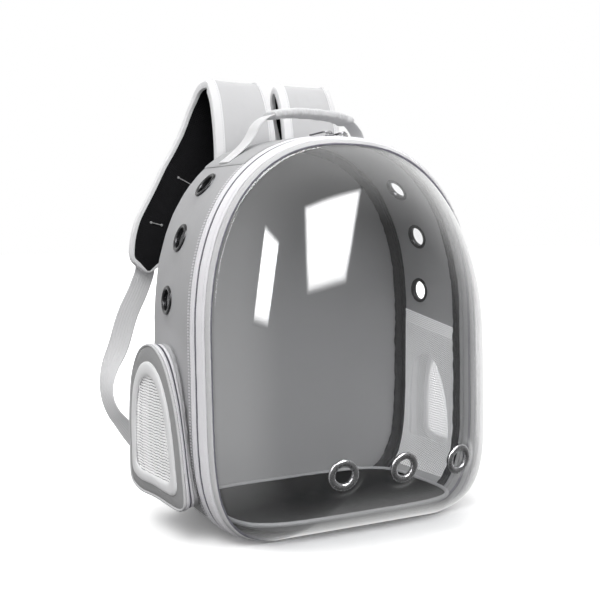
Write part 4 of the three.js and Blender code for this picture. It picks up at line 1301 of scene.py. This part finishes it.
def net_surface(side, along, up):
    z = mix(NET_FOOT, mix(NET_FRONT_TOP, NET_REAR_TOP, along), up)
    y = leaned(mix(NET_FRONT, NET_REAR, along), z)
    bulge = NET_BULGE * np.sin(np.pi * up) * np.sin(np.pi * along)
    return np.stack([side * (wall_out(y, z, WALL + GAP) - 0.8 - bulge), y, z], -1)


def build_side_net(tag, side):
    shape = Shape()
    normal = np.array([side, 0.0, 0.0])
    steps = 150
    up = np.linspace(0.0, NET_HEM_START, steps)
    zigzag = np.where(np.arange(steps) % 2 == 0, 0.5, -0.5) * 0.86
    for column in range(NET_COLUMNS + 1):
        sign = 1 if column % 2 == 0 else -1
        along = np.clip((column + sign * zigzag) / NET_COLUMNS, 0, 1)
        points = net_surface(side, along, up)
        shape.tube(swept(points, normal, oval(*NET_THREAD, 4)))
    along = np.linspace(0, 1, 40)
    for level in np.linspace(NET_HEM_START, 1.0, 7):
        points = net_surface(side, along, np.full(40, level))
        shape.tube(swept(points, normal, oval(*NET_HEM_THREAD, 6)))
    make(shape, f"side_mesh_{tag}", "net", [f"side_net_{tag}"])


# Handle

def handle_path():
    y = leaned(HANDLE_DEPTH, RIM_TOP)
    half = []
    for reach, lift in HANDLE_SHARES:
        x = min(reach * HANDLE_HALF_SPAN, SEWN_HALF_SPAN)
        roof = max(roof_at(x, y + dy) for dy in (-HANDLE_WIDTH / 2, 0, HANDLE_WIDTH / 2))
        half.append((x, y, roof + 1.2 + GAP + 1.8 + lift * HANDLE_LIFT - 1.0))
    return Path([(-x, y, z) for x, y, z in half] + half[::-1])


def ribbed_section(width, thickness, ribs, depth, round_edge=0.5):
    """A webbing's section with ribs along it, as (side, normal) offsets."""
    count = ribs * 4
    across = np.linspace(-width / 2, width / 2, count + 1)
    wave = depth * (np.cos(np.arange(count + 1) / 4 * 2 * np.pi) * -0.5 + 0.5)
    end = np.clip((width / 2 - abs(across)) / round_edge, 0, 1) ** 0.5
    top = (thickness / 2 - depth + wave) * end
    upper = np.stack([across, top], -1)
    lower = np.stack([across[::-1], -top[::-1]], -1)
    return np.concatenate([upper, lower[1:-1]])


def build_handle():
    path = handle_path()
    across = np.array([0.0, 1.0, 0.0])

    def stations(u):
        up = unit(np.cross(path.tangent_at(u), across))
        return path.at(u), up * np.sign(up[:, 2:])

    points, up = stations(np.linspace(0, 1, 180))
    section = ribbed_section(HANDLE_WIDTH, HANDLE_THICKNESS, 9, 0.25)
    grid = points[:, None] + across * section[None, :, :1] + up[:, None] * section[None, :, 1:]
    make(Shape().tube(grid), "handle_web_weave", "handle_webbing", ["handle_web"])

    share = GRIP_HALF_LENGTH / path.length
    steps = 150
    t = np.linspace(-1, 1, steps)
    points, up = stations(0.5 + GRIP_SHIFT / path.length + t * share)
    ends = np.clip((1 - abs(t)) * GRIP_HALF_LENGTH / 5, 0, 1) ** 0.4
    ring = oval(GRIP_WIDTH, GRIP_THICKNESS, GRIP_SIDES, 0.62)
    grid = np.zeros((steps, GRIP_SIDES, 3))
    for i in range(steps):
        offsets = ring * [mix(0.94, 1.0, ends[i]), mix(0.72, 1.0, ends[i])]
        grid[i] = points[i] + across * offsets[:, :1] + up[i] * offsets[:, 1:]
    folds = ripple(grid * [1.0, 0.25, 0.6], 8, 15.0, 3)
    outward_push = unit(grid - points[:, None])
    grid = grid + outward_push * (folds * 1.3 - 0.4)[..., None]
    made = make(Shape().tube(grid), "handle_grip_cloth", "grip_cloth", ["handle_grip"])
    sewing = Shape()
    for sign in (-1, 1):
        for inset in (4.0, 7.0):
            i = int(np.argmin(abs(t * sign - (1 - inset / GRIP_HALF_LENGTH))))
            row = grid[i][: GRIP_SIDES // 2] + up[i] * 0.2
            stitches(sewing, row, np.tile(up[i], (len(row), 1)), 3.4, 2.4, 0.7, 0.6)
    near, far = 0.02, 0.085
    crossed_box = [(near, -9), (near, 9), (far, 9), (far, -9), (near, -9), (far, 9), (far, -9), (near, 9)]
    for sign in (-1, 1):
        box = [path.at(a if sign < 0 else 1 - a) + np.array([0, b, 1.15]) for a, b in crossed_box]
        stitches(sewing, np.array(box), np.tile([sign * 0.5, 0.0, 0.85], (len(box), 1)), 2.8, 2.0, 0.7, 0.6)
    make(sewing, "handle_stitches", "white_binding")


# Straps

STRAP_LINE = Path(
    [
        (
            -(STRAP_BASE_OUT + out * STRAP_SPREAD),
            BODY_DEPTH + STRAP_SEAT + back * STRAP_STAND_OFF,
            up * STRAP_APEX,
        )
        for up, back, out, _ in STRAP_SHARES
    ]
)
STRAP_STATIONS = np.interp(
    np.linspace(0, 1, len(STRAP_SHARES)), STRAP_LINE.t, STRAP_LINE.lengths
)
STRAP_HALVES = np.array([width for *_, width in STRAP_SHARES]) * STRAP_HALF_WIDTH


def strap_half(s):
    return Path(np.stack([STRAP_STATIONS, STRAP_HALVES, 0 * STRAP_HALVES], -1)).point(
        np.interp(s, STRAP_STATIONS, np.linspace(0, 1, len(STRAP_HALVES)))
    )[..., 1]


def strap_frame(s):
    u = np.clip(s / STRAP_LINE.length, 0, 1)
    point = STRAP_LINE.at(u)
    along = STRAP_LINE.tangent_at(u)
    point = point + along * (s - u * STRAP_LINE.length)[..., None]
    across = unit(np.array([1.0, 0.0, 0.0]) - along * along[..., :1])
    return point, along, across, np.cross(across, along)


def strap_point(s, a, n):
    """A point of the strap: s along it, a across it, n out of its grey face."""
    s, a, n = (np.asarray(v, float) for v in np.broadcast_arrays(s, a, n))
    point, _, across, out = strap_frame(s)
    return point + across * a[..., None] + out * n[..., None]


def pad_height(a, half):
    """Height of the pad's crowned face across it."""
    edge = np.clip((half - abs(a)) / 11.0, 0, 1)
    crown = mix(PAD_EDGE, PAD_TOP, np.clip(half / 14, 0, 1))
    return PAD_EDGE + (crown - PAD_EDGE) * (1 - (1 - edge) ** 2.2)


def mirrored(grid, side):
    return np.asarray(grid) * np.array([-side, 1, 1])


def build_strap(tag, side):
    length = STRAP_LINE.length
    tip = np.linspace(length - 12.5, length - 0.2, 12)
    stations = np.concatenate([np.linspace(0, length - 14, 110), tip])
    half = np.maximum(strap_half(stations), 0.8)
    across = np.linspace(-1, 1, 33)
    a = half[:, None] * across[None]
    top = pad_height(a, half[:, None])
    face = strap_point(stations[:, None], a, top)
    top = top + ripple(face, 20, 17.0 + side, 3) * 0.5 * (1 - across[None] ** 4)
    face = strap_point(stations[:, None], a, top)
    foot = strap_point(stations[:, None], a[:, ::-1], -PAD_FOOT + 0 * a)
    shape = Shape().tube(mirrored(np.concatenate([face, foot], 1), side))
    made = make(shape, f"strap_pad_cloth_{tag}", "strap_cloth", [f"strap_pad_{tag}"])

    low = -PAD_FOOT - GAP
    lining_top = strap_point(stations[:, None], a, low + 0 * a)
    puff = 0.9 * (1 - across[None] ** 6) + 0 * a
    base = strap_point(stations[:, None], a, low - 0.9 - puff)
    puff = puff + ripple(base, 15, 19.0, 3) * 0.35
    lining_foot = strap_point(stations[:, None], a[:, ::-1], low - 0.6 - puff[:, ::-1])
    shape = Shape().tube(mirrored(np.concatenate([lining_top, lining_foot], 1), side))
    lining = make(shape, f"strap_lining_mesh_{tag}", "strap_lining", [f"strap_lining_{tag}"])
    build_strap_trim(tag, side, stations, half)


def build_strap_trim(tag, side, stations, half):
    """Binding folded over the strap's edge, down one side, round the tip and up the other."""
    s = np.concatenate([stations, stations[::-1]])
    outline = np.stack([s, np.concatenate([-half, half[::-1]])], -1)
    along = unit(np.gradient(outline, axis=0))
    normal = np.stack([along[:, 1], -along[:, 0]], -1)
    section = [
        (-8.5, 0.25), (-8.4, 0.9), (-6, 1.15), (-3, 1.2), (0, 1.1), (1.4, 0.7), (1.9, -0.6), (1.9, -2.6),
        (1.8, -5.6), (1.2, -7.6), (-0.6, -8.3), (-2.6, -8.3), (-2.7, -7.7), (0.2, -7.2), (0.35, -3.0),
        (0.3, -0.2), (-3, 0.1),
    ]
    rows = []
    halves = np.concatenate([half, half[::-1]])
    room = np.clip(halves / 12, 0.12, 1)
    for out, lift in section:
        reach = np.where(out < 0, out * room, out)
        place = outline + normal * reach[:, None]
        edge_height = pad_height(np.clip(abs(place[:, 1]), 0, halves), halves)
        n = np.where(out < -1, edge_height + lift, PAD_EDGE + lift)
        if lift < -7:
            n = np.full(len(s), -PAD_FOOT - GAP - 1.5 + (lift + 7.7) * 0.6 - 0.6)
        rows.append(strap_point(place[:, 0], place[:, 1], n))
    grid = np.array(rows).transpose(1, 0, 2)
    grid = grid + (ripple(grid, 9, 21.0, 2) * 0.09)[..., None]
    shape = Shape().tube(mirrored(grid, side))
    make(shape, f"strap_trim_{tag}", "white_binding", [f"strap_binding_{tag}"])
    sewing = Shape()
    place = outline + normal * (-6.6 * room)[:, None]
    n = pad_height(np.clip(abs(place[:, 1]), 0, halves), halves) + 1.25
    row = mirrored(strap_point(place[:, 0], place[:, 1], n), side)
    _, _, _, out = strap_frame(np.clip(place[:, 0], 0, STRAP_LINE.length))
    stitches(sewing, row, mirrored(out, side), 3.2, 2.2, 0.6, 0.5)
    make(sewing, f"strap_stitches_{tag}", "strap_cloth")
    build_bartacks(tag, side)


def build_bartacks(tag, side):
    """Two short cords sewn across the lining, each with a knot at its ends."""
    shape = Shape()
    low = -PAD_FOOT - GAP - 2.6
    for share in (0.678, 0.847):
        middle = share * STRAP_LINE.length
        half = float(strap_half(np.array(middle))) * 0.3
        a = np.linspace(-half, half, 12)
        points = strap_point(middle - a * 0.25, a, low + 0 * a)
        _, _, _, out = strap_frame(np.full(12, middle))
        shape.tube(swept(mirrored(points, side), mirrored(-out, side), oval(1.1, 0.9, 6)))
        for end in (0, -1):
            centre = mirrored(points[end], side)
            turn = np.arange(8) * math.pi / 4
            circle = np.stack([np.cos(turn), np.sin(turn), np.zeros(8)], -1)
            ball = [
                centre + 1.6 * (math.sin(t) * circle + [0, 0, math.cos(t)])
                for t in np.linspace(0.2, math.pi - 0.2, 6)
            ]
            shape.tube(ball)
    make(shape, f"strap_bartacks_{tag}", "panel_cloth")


def build_web(tag, side):
    lift = PAD_TOP + GAP * 2 + 1 + WEB_THICKNESS / 2
    laps = [strap_point(STRAP_LINE.length - back, 0.0, lift) for back in WEB_LAPS]
    start = laps[-1]
    seat = BODY_DEPTH + GAP + WEB_THICKNESS / 2
    anchor_out, anchor_height, anchor_lap = WEB_ANCHOR
    free = []
    for up, back, bow, _ in WEB_SHARES:
        out = mix(anchor_out, -start[0], up) + bow * WEB_BOW
        free.append((-out, mix(seat, start[1], back), mix(anchor_height, start[2], up)))
    sewn = [(-anchor_out, seat, anchor_height + share * anchor_lap) for share in (1, 0)]
    points = np.array([*laps, *free, *sewn])
    angles = np.array([0.0, 0, 0, *[row[3] for row in WEB_SHARES], 0, 0])
    path = Path(points)
    steps = 200
    t = path.t_at(np.linspace(0, 1, steps))
    centre = path.point(t)
    along = unit(path.point(np.minimum(t + 1e-4, 1)) - path.point(np.maximum(t - 1e-4, 0)))
    place = t * (len(points) - 1)
    turn = np.radians(np.interp(place, np.arange(len(points)), angles))
    kernel = np.hanning(15) / np.hanning(15).sum()
    turn = np.convolve(np.pad(turn, 7, mode="edge"), kernel, mode="valid")
    out = unit(np.array([0.0, 1.0, 0.0]) - along * along[:, 1:2])
    across = np.cross(along, out)
    out = out * np.cos(turn)[:, None] + across * np.sin(turn)[:, None]
    across = np.cross(along, out)
    section = ribbed_section(WEB_WIDTH, WEB_THICKNESS + 0.3, 8, 0.45)
    grid = centre[:, None] + across[:, None] * section[None, :, :1] + out[:, None] * section[None, :, 1:]
    shape = Shape().tube(mirrored(grid, side))
    make(shape, f"strap_web_weave_{tag}", "webbing", [f"strap_web_{tag}"])


# Sliders and pulls

HUB_HEIGHT = 2.4
HUB_HALF_LENGTH = 4.2
HUB_HALF_WIDTH = 3.2
TAB_LENGTH = 17


def block(centre, size, power=0.35, count=20, rows=9):
    """A block with round edges, as a grid of points for one closed skin."""
    rings = []
    for share in np.linspace(-1, 1, rows):
        scale = (1 - abs(share) ** 6) ** (1 / 6) if abs(share) < 1 else 0.55
        ring = oval(size[0] * scale, size[1] * scale, count, power)
        rings.append(np.stack([ring[:, 0], ring[:, 1], np.full(count, size[2] / 2 * share)], -1))
    return np.array(rings) + np.asarray(centre, float)


def build_sliders():
    for name, pull, direction in (("slider_1", "pull_1", "x"), ("slider_2", "pull_2", "y")):
        low, high = (np.array(corner) / MM - [0, shift, 0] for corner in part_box(name))
        centre, size = (low + high) / 2, high - low
        body = Shape()
        body.tube(block(centre - [0, 0, 1.2], [size[0], size[1], 1.6]))
        body.tube(block(centre + [0, 0, 0.9], [size[0] * 0.85, size[1] * 0.9, 1.4]))
        turn = np.linspace(0, np.pi, 14)
        lengthwise, sideways = np.eye(3)[[0, 1] if direction == "x" else [1, 0]]
        bridge = centre + np.stack([3 * np.cos(turn), 0 * turn, 2 * np.sin(turn) + 1.2], -1)
        body.tube(swept(bridge, np.array([0, 1.0, 0]), oval(1.4, 1.8, 8)))
        sign = -1 if direction == "x" else 1
        hub = centre + [0, 0, HUB_HEIGHT] + sign * lengthwise * HUB_HALF_LENGTH
        turn = turn_of(28)
        loop = hub + circle(turn, HUB_HALF_LENGTH * lengthwise, HUB_HALF_WIDTH * sideways)
        body.ring(swept(loop, np.array([0, 0, 1.0]), oval(1.2, 1.2, 8), closed=True))
        make(body, f"{name}_metal", "zip_metal", [name], sharp=60)
        start = hub + sign * lengthwise * 3.0
        end = start + sign * lengthwise * TAB_LENGTH
        u = np.linspace(0, 1, 16)
        path = start + np.outer(u, end - start)
        roof = np.array([roof_at(p[0], p[1]) for p in path])
        path[:, 2] = np.maximum(mix(start[2], roof[-1] + 1.9, u), roof + 1.6)
        widths = 2.4 + 2.6 * np.sin(np.clip(u * 1.15, 0, 1) * np.pi * 0.5)
        widths[-1] *= 0.75
        section = np.array([oval(w, 1.9, 12, 0.7) for w in widths])
        tab = Shape().tube(swept(path, np.array([0, 0, 1.0]), section))
        make(tab, f"{pull}_tab", "zip_pull", [pull])


# Camera, floor and lights

def camera_axes():
    place, target = np.array(CAMERA_PLACE), np.array(CAMERA_TARGET)
    forward = unit(target - place)
    right = unit(np.cross(forward, [0.0, 0.0, 1.0]))
    return place, forward, right, np.cross(right, forward)


def add_camera():
    place, forward, _, _ = camera_axes()
    data = bpy.data.cameras.new("camera")
    data.lens = CAMERA_LENS
    data.sensor_width = SENSOR
    data.clip_start, data.clip_end = 0.05, 100
    camera = add_object("camera", data)
    camera.location = to_frame(place)
    camera.rotation_mode = "QUATERNION"
    camera.rotation_quaternion = Vector(forward).to_track_quat("-Z", "Y")
    bpy.context.scene.camera = camera


def add_floor():
    size = 9.0
    mesh = bpy.data.meshes.new("floor")
    corners = [(-size, -size, 0), (size, -size, 0), (size, size, 0), (-size, size, 0)]
    mesh.from_pydata(corners, [], [(0, 1, 2, 3)])
    nodes = Nodes("floor")
    place = nodes.add("ShaderNodeTexCoord").outputs["Object"]
    reach = nodes.add("ShaderNodeVectorMath", {0: place}, operation="LENGTH").outputs["Value"]
    glow = nodes.add("ShaderNodeMapRange", {0: reach, 1: 0.45, 2: 1.6, 3: 0.0, 4: 0.6})
    matt = nodes.add("ShaderNodeBsdfDiffuse", {"Color": (1.35, 1.35, 1.35, 1)})
    far = nodes.add("ShaderNodeEmission", {"Color": (1, 1, 1, 1), "Strength": glow.outputs[0]})
    both = nodes.add("ShaderNodeAddShader", {0: matt.outputs[0], 1: far.outputs[0]})
    mesh.materials.append(nodes.output(both))
    floor = add_object("floor", mesh)
    floor.location.z = -0.0004
    floor.visible_diffuse = False
    floor.visible_glossy = False


def add_area_light(name, place, target, size, power):
    data = bpy.data.lights.new(name, "AREA")
    data.shape = "RECTANGLE"
    data.size, data.size_y = size
    data.energy = power
    light = add_object(name, data)
    light.location = place
    light.rotation_mode = "QUATERNION"
    light.rotation_quaternion = (Vector(target) - Vector(place)).to_track_quat("-Z", "Y")
    light.visible_glossy = False


def add_soft_box(name, corners, bow, strength, distance=1900.0, rows=28):
    """A bright card outside the view, set where the window mirrors it between four image places."""
    place, forward, right, up = camera_axes()
    focal = CAMERA_LENS / SENSOR * IMAGE_SIZE
    top_left, top_right, low_right, low_left = (np.array(c, float) for c in corners)
    down, across = np.meshgrid(np.linspace(0, 1, rows), np.linspace(0, 1, rows), indexing="ij")
    down, across = down[..., None], across[..., None]
    pixel = mix(mix(top_left, top_right, across), mix(low_left, low_right, across), down)
    pixel[..., 1:] -= bow * np.sin(np.pi * across) * (1 - down)
    aside, below = (pixel - IMAGE_SIZE / 2)[..., :1] / focal, (pixel - IMAGE_SIZE / 2)[..., 1:] / focal
    ray = unit(forward + right * aside - up * below)
    near, far = np.full(down.shape, 700.0), np.full(down.shape, 1150.0)
    for _ in range(40):
        reach = (near + far) / 2
        x, y, z = np.moveaxis(place + ray * reach, -1, 0)
        inside = (y > bubble_front(x, z))[..., None]
        near, far = np.where(inside, near, reach), np.where(inside, reach, far)
    x, y, z = np.moveaxis(place + ray * reach, -1, 0)
    point, normal = bubble_place(x, z)
    bounce = ray - 2 * (ray * normal).sum(-1, keepdims=True) * normal
    nodes = Nodes(name)
    fade = nodes.add("ShaderNodeAttribute", attribute_name="fade")
    brightness = nodes.math("MULTIPLY", fade.outputs["Fac"], strength)
    glow = nodes.add("ShaderNodeEmission", {"Color": (1, 1, 1, 1), "Strength": brightness})
    mesh = Shape().grid(point + bounce * distance).mesh(name)
    edge = np.minimum(np.minimum(across, 1 - across), np.minimum(down, 1 - down))
    soft = smooth_step(0, SOFT_EDGE, edge) * (1 - 0.55 * smooth_step(0.55, 1.0, down))
    mesh.attributes.new("fade", "FLOAT", "POINT").data.foreach_set("value", soft.ravel())
    mesh.materials.append(nodes.output(glow))
    card = add_object(name, mesh)
    for kind in ("camera", "diffuse", "shadow", "transmission"):
        setattr(card, f"visible_{kind}", False)


def add_world():
    """White behind the bag, softer light from above, and a dim room in front for mirrors."""
    world = bpy.data.worlds.new("studio")
    bpy.context.scene.world = world
    nodes = Nodes("studio", world)
    path = nodes.add("ShaderNodeLightPath")
    split = nodes.add("ShaderNodeSeparateXYZ", {0: nodes.add("ShaderNodeTexCoord").outputs["Generated"]})

    def graded(axis, low, high, dim):
        inputs = {0: split.outputs[axis], 1: low, 2: high, 3: dim, 4: 1.0}
        return nodes.add("ShaderNodeMapRange", inputs).outputs[0]

    def white(strength):
        inputs = {"Color": (1, 1, 1, 1), "Strength": strength}
        return nodes.add("ShaderNodeBackground", inputs).outputs[0]

    light = white(graded("Z", -0.35, 0.45, 0.12))
    room = nodes.math("MULTIPLY", graded("Y", -0.5, 0.05, 0.25), graded("Z", -0.75, -0.2, 0.3))
    glossy, camera = path.outputs["Is Glossy Ray"], path.outputs["Is Camera Ray"]
    soft = nodes.add("ShaderNodeMixShader", {0: glossy, 1: light, 2: white(room)})
    both = nodes.add("ShaderNodeMixShader", {0: camera, 1: soft.outputs[0], 2: white(1.0)})
    nodes.add("ShaderNodeOutputWorld", {0: both.outputs[0]})


def add_studio():
    add_camera()
    add_floor()
    add_world()
    add_area_light("key", (-1.4, -1.2, 2.4), (0, 0, 0.25), (1.6, 1.6), 24)
    add_area_light("fill", (1.8, -1.6, 1.2), (0, 0, 0.2), (1.4, 1.4), 8)
    add_area_light("back", (0.4, 1.8, 2.0), (0, 0, 0.3), (1.6, 1.0), 8)
    big = [(303, 205), (363, 186), (347, 285), (306, 297)]
    narrow = [(265, 222), (280, 240), (268, 330), (252, 325)]
    add_soft_box("card_wide", big, 2.0, 17.0)
    add_soft_box("card_narrow", narrow, 0.0, 17.0)
    bpy.context.scene.view_settings.view_transform = "Standard"


add_studio()
build_body([pocket_opening(side) for side in (-1, 1)])
build_back_panel()
build_rim()
build_seams()
build_bubble()
build_mat()
for tag, side in (("l", -1), ("r", 1)):
    build_pocket(tag, side)
    build_side_net(tag, side)
    build_strap(tag, side)
    build_web(tag, side)
build_handle()
build_sliders()
